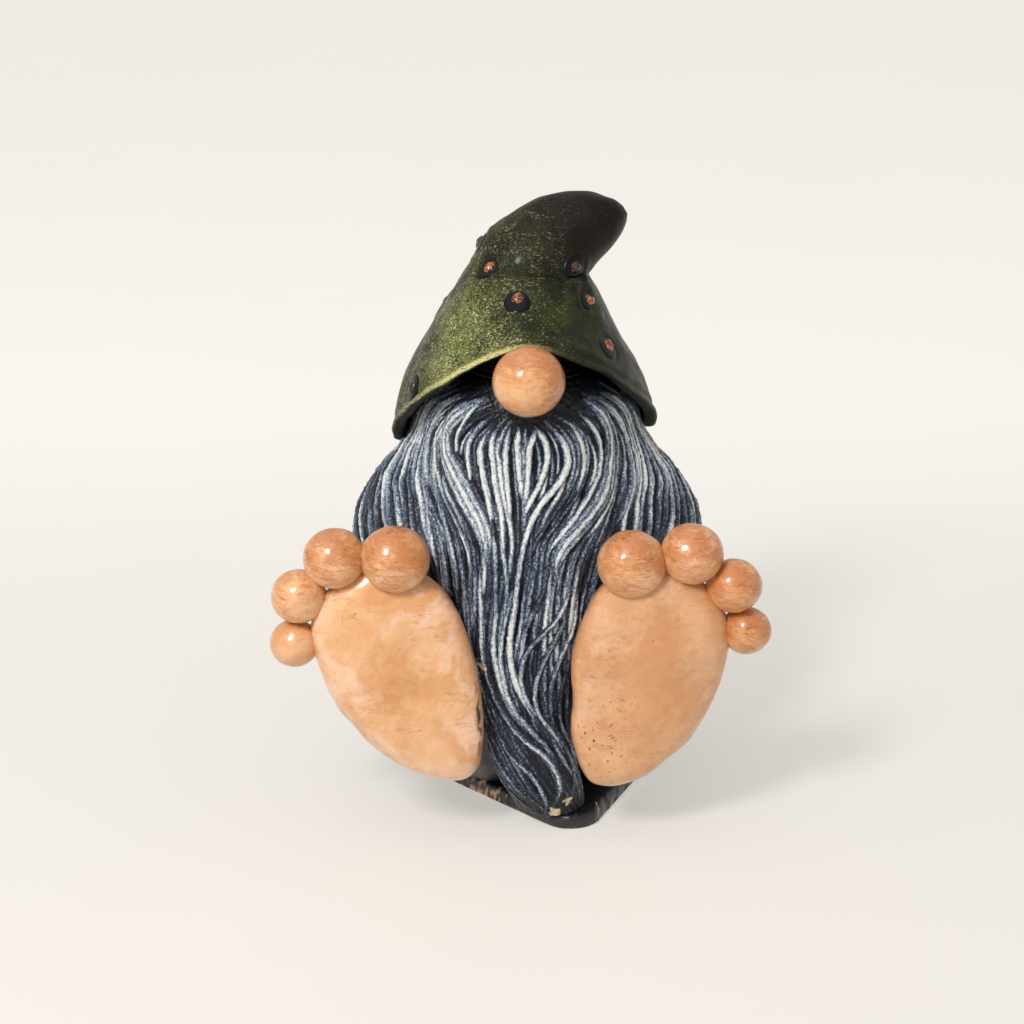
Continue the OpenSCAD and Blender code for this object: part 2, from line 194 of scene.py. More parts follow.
def shell(outside, inside):
    """A closed shell: each row runs out along the outside and back along the coarser inside, and the
    first and last rows are closed by triangles between the two."""
    rows, wide = outside.shape[:2]
    narrow = inside.shape[1]
    columns = wide + narrow
    points = np.concatenate([outside, inside[:, ::-1]], 1).reshape(-1, 3)
    j = np.arange(wide - 1)
    q = np.arange(narrow - 1)
    ends = []
    for start, turn in ((0, 1), ((rows - 1) * columns, -1)):
        inner = start + columns - 1
        outer_edges = np.stack([start + j + 1, start + j, inner - j // INNER_STEP], -1)
        inner_edges = np.stack([inner - q, inner - q - 1, start + (q + 1) * INNER_STEP], -1)
        ends.append(np.concatenate([outer_edges, inner_edges])[:, ::turn])
    return points, grid_faces(rows, columns), np.concatenate(ends)


def signed_volume(points, quads, fans):
    """The volume inside a closed mesh, which is negative when its faces point inwards."""
    halves = np.concatenate([quads[:, [0, 1, 2]], quads[:, [0, 2, 3]], fans])
    a, b, c = points[halves[:, 0]], points[halves[:, 1]], points[halves[:, 2]]
    return (a * np.cross(b, c)).sum() / 6


def make_piece(name, form, material, nodes, values=None):
    """A finished piece from points, quads and triangles: its faces are turned outwards, and each of the
    named values becomes an attribute that its material reads."""
    points, quads, fans = form
    if signed_volume(points, quads, fans) < 0:
        quads, fans = quads[:, ::-1], fans[:, ::-1]
    mesh = bpy.data.meshes.new(name)
    mesh.from_pydata((points * MM).tolist(), [], quads.tolist() + fans.tolist())
    mesh.polygons.foreach_set("use_smooth", np.ones(len(mesh.polygons), bool))
    for key, value in (values or {}).items():
        value = np.asarray(value, float).ravel()
        spare = np.full(len(points) - len(value), value[-1])
        mesh.attributes.new(key, "FLOAT", "POINT").data.foreach_set("value", np.concatenate([value, spare]))
    mesh.materials.append(material)
    mesh.update()
    piece = bpy.data.objects.new(name, mesh)
    bpy.context.collection.objects.link(piece)
    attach(piece, "root")
    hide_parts(*nodes)
    return piece


# ---- paints ----

def rgb(red, green, blue):
    """A colour from its 0-255 display values."""
    share = np.array([red, green, blue]) / 255
    linear = np.where(share <= 0.04045, share / 12.92, ((share + 0.055) / 1.055) ** 2.4)
    return (*linear, 1)


class Paint:
    """A material and the few calls that lay out its nodes."""

    def __init__(self, name, **shader):
        """A new material, with the shader's own values given by socket name."""
        self.material = bpy.data.materials.new(name)
        self.material.use_nodes = True
        self.nodes = self.material.node_tree.nodes
        self.links = self.material.node_tree.links
        self.shader = self.nodes["Principled BSDF"]
        for socket, value in shader.items():
            self.shader.inputs[socket.replace("_", " ")].default_value = value
        self.place = self.node("TexCoord", {}, "Object")
        self.colour = None

    def set(self, node, key, value):
        """A socket's value, or a link to it."""
        if isinstance(value, bpy.types.NodeSocket):
            self.links.new(value, node.inputs[key])
        elif value is not None:
            node.inputs[key].default_value = value

    def node(self, kind, inputs, out=0, **settings):
        """A node of one kind, with its settings and what goes into each input. It gives one output."""
        node = self.nodes.new("ShaderNode" + kind)
        for key, value in settings.items():
            setattr(node, key, value)
        for key, value in inputs.items():
            self.set(node, key, value)
        return node.outputs[out]

    def value(self, name):
        """A named value of the piece."""
        return self.node("Attribute", {}, "Fac", attribute_name=name)

    def math(self, work, a, b, clamp=False):
        """One sum: the work is the Math node's operation."""
        return self.node("Math", {0: a, 1: b}, operation=work, use_clamp=clamp)

    def plus(self, a, b):
        """The two added."""
        return self.math("ADD", a, b)

    def times(self, a, b, clamp=False):
        """The two multiplied."""
        return self.math("MULTIPLY", a, b, clamp)

    def swing(self, value, size):
        """How far a noise is above its middle, times a size."""
        return self.times(self.math("SUBTRACT", value, 0.5), size)

    def noise(self, size, detail=3, rough=0.55, place=None, warp=0.0):
        """Soft noise whose blobs are about a size across: in millimetres, or in the units of a place."""
        scale = 1 / (size * MM) if place is None else 1 / size
        return self.node("TexNoise", {"Vector": place or self.place, "Scale": scale, "Detail": detail,
                                      "Roughness": rough, "Distortion": warp}, "Fac")

    def streaks(self, per_metre, detail, rough, warp=0.0):
        """Noise with so many blobs in a metre along each axis, so that they draw out into streaks."""
        place = self.node("Mapping", {"Vector": self.place, "Scale": per_metre})
        return self.noise(1.0, detail, rough, place, warp)

    def between(self, value, low, high):
        """0 below low and 1 above high, with a smooth rise between them."""
        return self.node("MapRange", {"Value": value, "From Min": low, "From Max": high},
                         interpolation_type="SMOOTHSTEP")

    def coat(self, share, *shade):
        """One more coat: a share of a colour over the coats below it. The first coat covers all."""
        over = rgb(*shade)
        self.colour = over if self.colour is None else self.node(
            "Mix", {0: share, 6: self.colour, 7: over}, 2, data_type="RGBA")

    def bump(self, height, depth, onto=None):
        """Dents and lumps, with a depth in millimetres."""
        return self.node("Bump", {"Distance": depth * MM, "Height": height, "Normal": onto})

    def done(self, roughness, normal):
        """The finished material."""
        for key, value in (("Base Color", self.colour), ("Roughness", roughness), ("Normal", normal)):
            self.set(self.shader, key, value)
        return self.material


def skin_paint():
    """Peach paint, mottled by a second coat, with orange-brown brushed over the raised parts in patches and
    fine strokes, hairline scratches, dark specks, and varnish."""
    paint = Paint("peach skin paint", Coat_Weight=0.8, Coat_Roughness=0.12, IOR=1.45)
    mottle = paint.noise(15, 4, 0.6, warp=0.6)
    paint.coat(1, 227, 175, 127)
    paint.coat(paint.between(mottle, 0.36, 0.66), 211, 151, 97)
    warm = paint.times(paint.value("warm"), 0.22)
    pale = paint.between(paint.math("SUBTRACT", paint.noise(9, 3, 0.6, warp=0.4), warm), 0.54, 0.74)
    paint.coat(paint.times(pale, 0.6), 238, 200, 172)
    stain = paint.between(paint.plus(paint.noise(6, 5, 0.7, warp=1.4), warm), 0.52, 0.78)
    paint.coat(paint.times(stain, 0.5), 198, 128, 56)
    strokes = paint.streaks((330, 420, 1000), 4, 0.65, warp=0.8)
    patches = paint.noise(3.2, 4, 0.65, warp=0.6)
    brushed = paint.plus(paint.times(strokes, 0.85), paint.times(patches, 0.3))
    brushed = paint.plus(brushed, paint.times(paint.value("brushed"), 0.55))
    brushed = paint.times(paint.between(brushed, 0.62, 0.98), 0.85)
    paint.coat(brushed, 186, 112, 58)
    scratches = paint.between(paint.streaks((2200, 500, 240), 2, 0.5, warp=0.5), 0.66, 0.74)
    dark = paint.between(paint.streaks((420, 700, 1700), 3, 0.6, warp=1.2), 0.54, 0.7)
    scratches = paint.plus(paint.times(scratches, 0.3), paint.times(brushed, dark))
    paint.coat(paint.times(scratches, 0.8, clamp=True), 112, 62, 36)
    specks = paint.between(paint.noise(0.8, 2, 0.6), 0.72, 0.76)
    paint.coat(paint.times(specks, 0.7), 84, 48, 32)
    # Painted shade: the whole left sole, on the side away from the light, is darkened.
    paint.coat(paint.value("shade"), 170, 124, 96)
    paint.coat(paint.value("black"), 15, 14, 18)
    rough = paint.plus(paint.times(paint.noise(4, 4, 0.7), 0.35), 0.2)
    normal = paint.bump(paint.noise(2.6, 5, 0.62), 0.3)
    normal = paint.bump(strokes, 0.08, normal)
    return paint.done(rough, normal)


def hair_paint():
    """Black-blue paint in the grooves and pale grey-blue dragged over the crests with a dry brush: the
    pale share grows with the crest's height and breaks up in streaks that run along the strand."""
    paint = Paint("dry-brushed hair paint", Coat_Weight=0.2, Coat_Roughness=0.2, Specular_IOR_Level=0.35)
    run, side = paint.value("run"), paint.value("side")
    along = paint.node("CombineXYZ", {"X": paint.times(run, 0.35), "Y": paint.times(side, 2.6)})
    streaks = paint.noise(1.0, 4, 0.7, place=along)
    grain = paint.noise(0.5, 3, 0.7)
    crest = paint.times(paint.value("crest"), paint.value("tone"))
    held = paint.plus(crest, paint.swing(streaks, 1.3))
    held = paint.plus(held, paint.swing(grain, 1.5))
    paint.coat(1, 9, 11, 18)
    paint.coat(paint.between(held, 0.3, 0.66), 46, 56, 78)
    paint.coat(paint.between(held, 0.56, 0.88), 132, 147, 166)
    paint.coat(paint.between(held, 0.84, 1.14), 222, 224, 218)
    paint.coat(paint.value("chip"), 228, 208, 170)
    normal = paint.bump(streaks, 0.26, paint.bump(grain, 0.24))
    return paint.done(0.42, normal)


def hat_paint():
    """Dark olive paint over brown-black, with brassy green stippled on by a sponge, thickest at the hem and
    on
    the right side, which faces the light: partly the stipple and partly painted light. Fine pale painted
    glints in clusters stand for light caught by metal flakes, a pale brassy band along the front of the hem
    is a painted highlight, and the top of the tip is darkened brown-black as painted shade, all under a satin
    varnish. The inside is black, and the black runs out over the rim's inner half as painted shade."""
    paint = Paint("stippled olive hat paint", Coat_Weight=0.12, Coat_Roughness=0.16, Specular_IOR_Level=0.12)
    cloud = paint.noise(14, 4, 0.6, warp=0.7)
    paint.coat(1, 20, 20, 7)
    paint.coat(paint.between(cloud, 0.35, 0.68), 44, 48, 18)
    # Painted shade: the top of the tip, on the side away from the light, darkened to brown-black.
    paint.coat(paint.value("tip"), 19, 12, 7)
    fleck = paint.streaks((1500, 1500, 2700), 4, 0.75)
    # The stipple share follows the sponge, and is raised on the lit right side and at the hem as painted
    # light.
    amount = paint.plus(paint.times(paint.value("stipple_and_light"), 0.24), paint.swing(cloud, 0.35))
    stipple_and_light = paint.between(paint.plus(fleck, amount), 0.64, 0.84)
    paint.coat(stipple_and_light, 120, 124, 70)
    # Painted glints: pale specks that stand for light caught by metal flakes, mostly on the lit side.
    glints = paint.streaks((1300, 1300, 3400), 3, 0.65, warp=0.5)
    cluster = paint.between(paint.noise(5, 3, 0.6, warp=0.8), 0.36, 0.62)
    glints = paint.times(paint.between(glints, 0.54, 0.66), cluster)
    glints = paint.times(glints, paint.times(paint.value("stipple_and_light"), 0.95, clamp=True))
    paint.coat(glints, 222, 220, 166)
    # Painted highlight: a pale brassy band along the lit front of the hem.
    hem_highlight = paint.times(paint.value("hem_highlight"), paint.between(fleck, 0.34, 0.54))
    paint.coat(hem_highlight, 206, 200, 138)
    pits = paint.between(paint.noise(1.3, 3, 0.7), 0.62, 0.7)
    paint.coat(paint.times(pits, 0.6), 20, 19, 12)
    # Black inside, which runs out over the rim's inner half as painted shade.
    paint.coat(paint.value("inside"), 12, 12, 14)
    normal = paint.bump(fleck, 0.16, paint.bump(paint.noise(3.5, 4, 0.6), 0.25))
    return paint.done(0.4, normal)


def coat_paint():
    """Black paint, with a trace of grey-blue brushed on the raised folds."""
    paint = Paint("black coat paint", Coat_Weight=0.4, Coat_Roughness=0.25)
    streaks = paint.streaks((900, 900, 160), 4, 0.7)
    held = paint.plus(paint.value("crest"), paint.swing(streaks, 1.6))
    paint.coat(1, 15, 15, 19)
    paint.coat(paint.between(held, 0.45, 1.2), 52, 58, 70)
    paint.coat(paint.value("peach"), 214, 168, 132)
    normal = paint.bump(paint.noise(1.8, 5, 0.65), 0.3)
    return paint.done(0.36, normal)


def dot_paint():
    """Glossy navy with paler worn patches."""
    paint = Paint("navy dot paint", Coat_Weight=0.2, Coat_Roughness=0.1, Specular_IOR_Level=0.12)
    wear = paint.between(paint.noise(0.9, 4, 0.7), 0.5, 0.8)
    paint.coat(1, 6, 7, 13)
    paint.coat(wear, 18, 22, 36)
    return paint.done(0.3, paint.bump(paint.noise(1.2, 3, 0.6), 0.12))


def bead_paint():
    """Copper enamel that has wrinkled as it dried, dark in the wrinkles."""
    paint = Paint("copper bead enamel", Metallic=0.55, Coat_Weight=0.7, Coat_Roughness=0.1)
    wrinkle = paint.noise(1.1, 4, 0.6, warp=1.5)
    paint.coat(1, 48, 22, 14)
    paint.coat(paint.between(wrinkle, 0.36, 0.6), 190, 112, 70)
    # Some beads are darkened almost black: for those in the fold at the crease this is painted shade.
    paint.coat(paint.value("darkened_and_shaded"), 16, 14, 16)
    return paint.done(0.3, paint.bump(wrinkle, 0.35))


SKIN = skin_paint()
HAIR = hair_paint()
HAT = hat_paint()
COAT = coat_paint()
DOT = dot_paint()
BEAD = bead_paint()


# ---- hat ----

hat_low, hat_high = box("hat")
nose_middle, nose_radius = ball_of("nose", np.zeros(3))
torso_high = box("torso")[1]
brim_r = (hat_high[0] - hat_low[0]) / 2
hat_x = (hat_high[0] + hat_low[0]) / 2
hat_top = hat_high[2]
TIP_RISE = 21
CREASE_X = 15.7
TIP_X = 25.6
BRIM_DROP = 10
BRIM_TILT = 3.5
BRIM_PEAK = 3.5
BRIM_WALL = 3.5
BRIM_FADE = 0.6
BRIM_SLOPE = 0.34
NOSE_TUCK = 1
GLUE = 0.2
crease_z = hat_top - TIP_RISE
brim_back_z = hat_low[2]
brim_side_z = brim_back_z + BRIM_DROP
brim_front_z = nose_middle[2] + nose_radius - NOSE_TUCK
ceiling_z = torso_high[2] + GLUE


def hat_sections():
    """Rows of [place along the hat, [left x, left z, right x, right z, half depth]]: each section is an
    ellipse between its two ends, and they turn over as the tip bends to the left."""
    under = TIP_X - CREASE_X
    left_x = [hat_x - brim_r * share for share in (1, 0.9, 0.76, 0.53, 0.38, 0.25, 0.045)]
    left_x += [TIP_X * share for share in (0.25, 0.585, 0.83, 0.94)]
    right_x = [hat_x + brim_r * share for share in (1, 0.875, 0.72)]
    right_x += [CREASE_X + under * share for share in (0.1, 0, 0.14, 0.36, 0.62, 0.84, 0.98, 1)]
    side_rise = crease_z - brim_side_z
    left_z = [brim_side_z + side_rise * share for share in (0, 0.31, 0.6, 0.91)]
    left_z += [crease_z + TIP_RISE * share for share in (0.19, 0.55, 0.8, 0.955, 1, 0.93, 0.84)]
    right_z = [brim_side_z + side_rise * share for share in (0, 0.31, 0.6, 0.94)]
    right_z += [crease_z + TIP_RISE * share for share in (0.02, 0.12, 0.23, 0.36, 0.5, 0.65, 0.74)]
    depth = [brim_r * share for share in (1, 0.88, 0.75, 0.58, 0.48, 0.4, 0.325, 0.253, 0.19, 0.115, 0.05)]
    place = (0, 0.15, 0.3, 0.45, 0.55, 0.65, 0.75, 0.85, 0.93, 0.98, 1)
    return [[u, list(section)] for u, *section in zip(place, left_x, left_z, right_x, right_z, depth)]


HAT_SECTIONS = hat_sections()


def hat_point(u, a):
    """The hat's outside at place u along it and angle a round it, where 0 is +X and a quarter turn is the
    back. Each section is an ellipse. Near the brim it is lifted over the nose by a power of the sine, and
    dropped and widened at the back."""
    section = curve(HAT_SECTIONS, u)
    fade = np.clip(1 - u / BRIM_FADE, 0, 1) ** 1.2
    back, front = np.clip(np.sin(a), 0, 1), np.clip(-np.sin(a), 0, 1)
    drop = (brim_side_z - brim_back_z) * back
    over_nose = front ** (2.75 - 1.55 * np.abs(np.cos(a)))
    lift = (brim_front_z - brim_side_z) * over_nose + BRIM_TILT / 2 * np.cos(a) - drop
    out = BRIM_SLOPE * drop * fade
    left_x, left_z, right_x, right_z, depth = np.moveaxis(section, -1, 0)
    return np.stack([(left_x + right_x) / 2 + ((right_x - left_x) / 2 + out) * np.cos(a),
                     (depth + BRIM_PEAK * fade * front + out) * np.sin(a),
                     (left_z + right_z) / 2 + (right_z - left_z) / 2 * np.cos(a) + lift * fade], -1)


HAT_ROWS, HAT_COLUMNS = 250, 300
hat_u, hat_a = sheet(np.linspace(0, 1, HAT_ROWS) ** 1.05, full_turn(HAT_COLUMNS))
hat_plain = hat_point(hat_u, hat_a)
hat_out = normals(hat_plain)
dot_middles = [sum(box(f"hat_dot_{n}")) / 2 for n in range(1, DOTS + 1)]
DOT_R, BEAD_R, BEAD_H = 3.55, 1.8, 1.25
DIMPLE_R, DIMPLE_DEPTH = 4.6, 0.45
INSIDE_ROWS, RIM_ROWS = 24, 7
CEILING_R = 13
RIM_SWELL = 0.8


def hat_relief():
    """How far the hat's outside is raised: soft hand-made lumps that die out at the dots, a shallow dimple
    under each dot, two folds that run down from the crease, and a rounded hem with a groove above it."""
    up = 0.45 * unevenness(hat_plain, 28, 3) + 0.12 * unevenness(hat_plain, 7, 4)
    distances = [np.linalg.norm(hat_plain - middle, axis=-1) for middle in dot_middles]
    for away in distances:
        up *= ease((away - DOT_R) / 5)
    for away in distances:
        up -= DIMPLE_DEPTH * hump(away, 0, DIMPLE_R)
        up += 0.25 * hump(away, DIMPLE_R, 1.6)
    turn = np.degrees(hat_a)
    for start, slide, height in ((322, -34, 1.2), (334, -22, 1.0)):
        line = start + slide * (hat_u - 0.5) / -0.3
        on = hump(hat_u, 0.42, 0.26)
        up += height * on * hump(turn, line, 11) - 0.5 * height * on * hump(turn, line - 13, 9)
    hem = np.linalg.norm(hat_plain - hat_plain[:1], axis=-1)
    up += 0.2 * hump(hem, 0.6, 1.6) - 0.3 * hump(hem, 2.6, 1.2) + 0.12 * hump(hem, 4.4, 1.6)
    return up


def hat_rows(inside, rim, outside):
    """A value for each of the hat's rings: one for its inside, some for its rim, a grid for its outside."""
    return np.concatenate([np.full((INSIDE_ROWS, HAT_COLUMNS), inside), rim * np.ones(HAT_COLUMNS), outside])


def hat_form():
    """The closed hat: up its outside from the brim to the tip, and from the ceiling down its inside, which
    narrows by a power of the height. The rim between them is half a turn of an ellipse as thick as the
    wall. The brassy stipple is thickest at the front, on the right side, which faces the light, and at the
    hem: partly the stipple and partly painted light. A pale band along the lit front of the hem is a
    painted highlight, the top of the tip gets painted shade, and the inside's black runs out over the rim's
    inner half as painted shade."""
    outside = hat_plain + hat_out * hat_relief()[..., None]
    rim = outside[0]
    middle = np.array([hat_x, 0])
    plan = rim[:, :2] - middle
    wall_share = BRIM_WALL / np.linalg.norm(plan, axis=1)[:, None]
    inner = np.concatenate([middle + plan * (1 - wall_share), rim[:, 2:]], 1)
    v = np.linspace(1, 0, INSIDE_ROWS)[:, None]
    ceiling = CEILING_R * np.stack([np.cos(hat_a[0]), np.sin(hat_a[0])], -1)
    share = (v ** 1.5)[..., None]
    inside = np.concatenate([inner[None, :, :2] * (1 - share) + ceiling[None] * share,
                             (inner[None, :, 2] * (1 - v) + ceiling_z * v)[..., None]], -1)
    turn = np.linspace(math.pi, 0, RIM_ROWS + 2)[1:-1, None, None]
    rounded = (rim + inner) / 2 + (rim - inner) / 2 * np.cos(turn)
    rounded -= np.array([0, 0, RIM_SWELL]) * np.sin(turn)
    hem = np.linalg.norm(outside - rim, axis=-1)
    x, y, z = np.moveaxis(outside, -1, 0)
    # The stipple share grows towards the right side, at -X, and at the hem: partly real stipple, partly
    # painted light on the lit side.
    front_right = ease((20 - x) / 42) * (0.4 + 0.6 * ease((x + 38) / 18))
    stipple_and_light = front_right * (0.55 + 0.45 * ease(1 - hem / 45)) + 0.2 * ease(1 - hem / 6) * ease((8 - x) / 14)
    # Painted highlight: a pale band along the front of the hem, on the lit side.
    hem_highlight = ease(1.3 - hem / 1.9) * hump(x, -13, 24) * (y < 0)
    # Painted shade: the top of the tip, away from the light.
    tip = ease((z - 128) / 20) * ease((x + 12) / 24)
    outwards = np.linspace(0, 1, RIM_ROWS)[:, None]
    none = np.zeros((RIM_ROWS, 1))
    # The inside is black. On the rim the black fades outwards by a root, as painted shade under the brim.
    values = {"inside": hat_rows(1, (1 - outwards) ** 0.5, np.zeros(x.shape)),
              "stipple_and_light": hat_rows(0, stipple_and_light[:1] * outwards ** 2, stipple_and_light),
              "tip": hat_rows(0, none, tip), "hem_highlight": hat_rows(0, none, hem_highlight)}
    return capped(np.concatenate([inside, rounded, outside])), values


hat_mesh, hat_values = hat_form()
make_piece("hat_carved", hat_mesh, HAT, ["hat"], hat_values)


# ---- dots and beads ----

def hat_patch(middle, right, up):
    """Points on the hat's outside at given steps to the right and up from the nearest point to a middle:
    the steps are turned into steps of u and a by the surface's own two slopes there."""
    nearest = np.unravel_index(np.linalg.norm(hat_plain - middle, axis=-1).argmin(), hat_u.shape)
    u, a = hat_u[nearest], hat_a[nearest]
    d = 0.002
    along = (hat_point(u + d, a) - hat_point(u - d, a)) / (2 * d)
    round_ = (hat_point(u, a + d) - hat_point(u, a - d)) / (2 * d)
    out = hat_out[nearest]
    way_right = np.cross([0, 0, 1], out)
    way_right /= np.linalg.norm(way_right)
    way_up = np.cross(out, way_right)
    slopes = np.linalg.pinv(np.stack([along, round_], -1))
    step = right[..., None] * way_right + up[..., None] * way_up
    moved = step @ slopes.T
    here = hat_point(u + moved[..., 0], a + moved[..., 1])
    return here, out


# How far the beads in view sit from the middles of their dots, as [right, up], and how far some are
# darkened, those in the fold at the crease as painted shade.
BEAD_SHIFT = [(0, 1.2), (0.8, 0.6), (-1.2, 0.2), (0.2, 0.2), (0.6, 0.3), (0.9, 0.4), (0.2, 0.1)]
BEADS_DARKENED_AND_SHADED = {3: 0.8, 4: 0.85, 7: 0.9, 9: 0.4, 12: 0.5}
DISC_ROWS, DISC_TURNS = 14, 48


def disc(middle, radius, height, power, sunk, seed, shift=(0, 0)):
    """A low dome that follows the hat: its height falls from the middle by a power of the share of its
    radius, its outline is a circle with two and three soft lobes, and it is closed a little below."""
    rng = np.random.default_rng(seed)
    share, turn = sheet(np.linspace(0.04, 1, DISC_ROWS), full_turn(DISC_TURNS))
    lobes = 1 + 0.05 * np.sin(2 * turn + rng.uniform(0, 6)) + 0.04 * np.sin(3 * turn + rng.uniform(0, 6))
    reach = radius * share * lobes
    here, out = hat_patch(middle, shift[0] + reach * np.cos(turn), shift[1] + reach * np.sin(turn))
    rise = height * (1 - share ** power) - sunk
    top = here + out * rise[..., None]
    skirt = here[-1:] + out * (-sunk - 0.8)
    return capped(np.concatenate([top, skirt]))


for n in range(1, DOTS + 1):
    middle = dot_middles[n - 1]
    shift = BEAD_SHIFT[n - 1] if n <= len(BEAD_SHIFT) else (-0.8, 0.4)
    form = disc(middle, DOT_R, 0.42, 8, 0.14, n)
    make_piece(f"hat_dot_{n}_painted", form, DOT, [f"hat_dot_{n}"])
    smooth, *faces = disc(middle, BEAD_R, BEAD_H, 2.4, 0.05, 40 + n, shift)
    wrinkled = smooth + 0.09 * unevenness(smooth, 1.5, 60 + n)[:, None]
    # Beads in the fold at the crease are darkened as painted shade.
    make_piece(f"hat_bead_{n}_enamel", (wrinkled, *faces), BEAD, [f"hat_bead_{n}"],
               {"darkened_and_shaded": np.full(len(wrinkled), BEADS_DARKENED_AND_SHADED.get(n, 0.0))})


# ---- nose and toes ----

BALL_ROWS, BALL_TURNS = 72, 112


def ball(middle, radius, seed, squash):
    """A hand-rolled ball: a sphere whose radius is uneven by about a fiftieth, squashed a little along
    each axis, with its two poles along Y, out of sight of the front."""
    down, turn = sheet(np.linspace(0.02, math.pi - 0.02, BALL_ROWS), full_turn(BALL_TURNS))
    way = np.stack([np.sin(down) * np.cos(turn), -np.cos(down), np.sin(down) * np.sin(turn)], -1)
    reach = radius * (1 + 0.012 * unevenness(way, 1.6, seed) + 0.004 * unevenness(way, 0.5, seed + 1))
    return middle + way * reach[..., None] * squash, way


def toe_brushing(way, amount):
    """Where the brown brush has passed: over the top and the sides of a ball, in wide soft bands."""
    return amount * (0.35 + 0.5 * ease(way[..., 2] + 0.2) + 0.35 * unevenness(way, 1.3, 7))


nose_rings, nose_way = ball(nose_middle, nose_radius * 0.985, 11, (1.0, 0.98, 0.97))
nose_brushed = 0.2 + 0.45 * hump(nose_way[..., 2], 0.75, 0.7) + 0.5 * ease((nose_way[..., 0] - 0.2) * 1.3)
make_piece("nose_ball", capped(nose_rings), SKIN, ["nose"], {"brushed": nose_brushed})

BRUSHED = {"right": [0.95, 0.9, 0.5, 0.3], "left": [0.95, 0.9, 0.95, 1.0]}
foot_middles = {side: sum(box(f"foot_{side}")) / 2 for side in SIDES}
for side in SIDES:
    for n in range(1, TOES + 1):
        middle, radius = ball_of(f"toe_{side}_{n}", foot_middles[side])
        rings, way = ball(middle, radius * 0.99, 20 * n + SIDES[side], (1.02, 1, 0.98))
        make_piece(f"toe_{side}_{n}_ball", capped(rings), SKIN, [f"toe_{side}_{n}"],
                   {"brushed": toe_brushing(way, BRUSHED[side][n - 1])})


# ---- feet ----

SOLE_WIDTH = 36
SOLE_LENGTH = {"right": 60, "left": 59}
FOOT_LEAN = {"right": math.radians(17), "left": math.radians(8)}
FOOT_DEPTH = 18
FRONT_SHARE = 0.42
HEEL_IN = 6
ROUNDNESS = 2.6
FOOT_ROWS, FOOT_COLUMNS = 150, 220


def signed_power(value, power):
    """A power of the size of a value, with the value's own sign."""
    return np.sign(value) * np.abs(value) ** power


def swell(x, z, at_x, at_z, wide, long):
    """A soft round swelling of height 1: a bell curve in each direction about its middle."""
    return np.exp(-((x - at_x) ** 2 / wide + (z - at_z) ** 2 / long))


def foot_form(side):
    """A bare foot seen from below: its section from front to back is a rounded rectangle (the
    superellipse of one power), and its outline is an egg, fuller towards the toes and most of all on the
    outer side, whose heel bends inwards. The sole has a soft arch, a ball and a heel pad. Its box is
    centred on the CAD foot's."""
    sign = SIDES[side]
    most = math.pi / 2 - 0.02
    slant, turn = sheet(np.linspace(-most, most, FOOT_ROWS), full_turn(FOOT_COLUMNS))
    up, down = np.clip(np.sin(turn), 0, 1), np.clip(-np.sin(turn), 0, 1)
    full = 0.17 + 0.23 * ease(np.cos(turn) * 4 + 0.5)
    across = SOLE_WIDTH / 2 * np.cos(turn) * (1 + full * up - 0.17 * down) - HEEL_IN * down ** 2
    high = SOLE_LENGTH[side] / 2 * np.sin(turn)
    shrink = np.cos(slant) ** (2 / ROUNDNESS)
    depth = signed_power(np.sin(slant), 2 / ROUNDNESS)
    depth *= np.where(slant > 0, FOOT_DEPTH * FRONT_SHARE, FOOT_DEPTH * (1 - FRONT_SHARE))
    x, z = across * shrink, high * shrink
    facing = ease(np.sin(slant) * 1.6)
    ball_pad, heel_pad = 0.9 * swell(x, z, 5, 12, 120, 120), 0.6 * swell(x, z, -3, -19, 70, 70)
    arch = 1.1 * swell(x, z, -7, -2, 60, 260)
    points = np.stack([sign * x, -depth - facing * (ball_pad - arch + heel_pad), z], -1)
    lumps = 0.28 * unevenness(points, 17, 5 + sign) + 0.07 * unevenness(points, 5, 8 + sign)
    points += normals(points) * lumps[..., None]
    lean = sign * FOOT_LEAN[side]
    turned = np.stack([points[..., 0] * math.cos(lean) + points[..., 2] * math.sin(lean), points[..., 1],
                       points[..., 2] * math.cos(lean) - points[..., 0] * math.sin(lean)], -1)
    low = box(f"foot_{side}")[0]
    bare_low, bare_high = turned.reshape(-1, 3).min(0), turned.reshape(-1, 3).max(0)
    shift = foot_middles[side] - (bare_low + bare_high) / 2
    shift[2] = low[2] - bare_low[2]
    return turned + shift, x, z, facing


def dashes(points, line, run, seed):
    """Short dark strokes of a brush that touched an edge: a band about a line, broken by uneven noise."""
    return ease(1 - np.abs(line) / 1.3) * run * ease((unevenness(points, 2.2, seed) + 0.1) * 3)


for side, sign in SIDES.items():
    rings, x, z, facing = foot_form(side)
    inner = x < 0
    edge = rings[..., 1] - rings[..., 1].min()
    if side == "right":
        black = dashes(rings, edge - 5.2, inner * hump(rings[..., 2], 33, 18), 71)
    else:
        specks = ease((unevenness(rings, 1.0, 72) - 1.4) * 4)
        black = specks * inner * hump(rings[..., 2], 27, 24) * ease(edge / 2.5)
    brushed = 0.15 * ease(unevenness(rings, 22, 31 + sign) + 0.2) + 0.3 * hump(z, 22, 16) * (1 - facing)
    brushed += 0.06 * (side == "left")
    warm = 1.6 * swell(x, z, 1, 3, 70, 260) - (0.7 if side == "right" else 0.0)
    back = ease((rings[..., 1] - box(f"foot_{side}")[1][1] + 5) / 3)
    # The left sole gets painted shade all over.
    make_piece(f"foot_{side}_sole", capped(rings), SKIN, [f"foot_{side}"],
               {"brushed": brushed, "black": np.maximum(black, back), "warm": warm,
                "shade": np.full(x.shape, 0.26 if side == "left" else 0.0)})


# ---- torso, legs and slab ----

CROWN_R = 11
COAT_ROWS, COAT_TURNS = 170, 300
LEG_ROWS, LEG_TURNS = 70, 120
INTO_COAT = 8
FOOT_WALL = 4


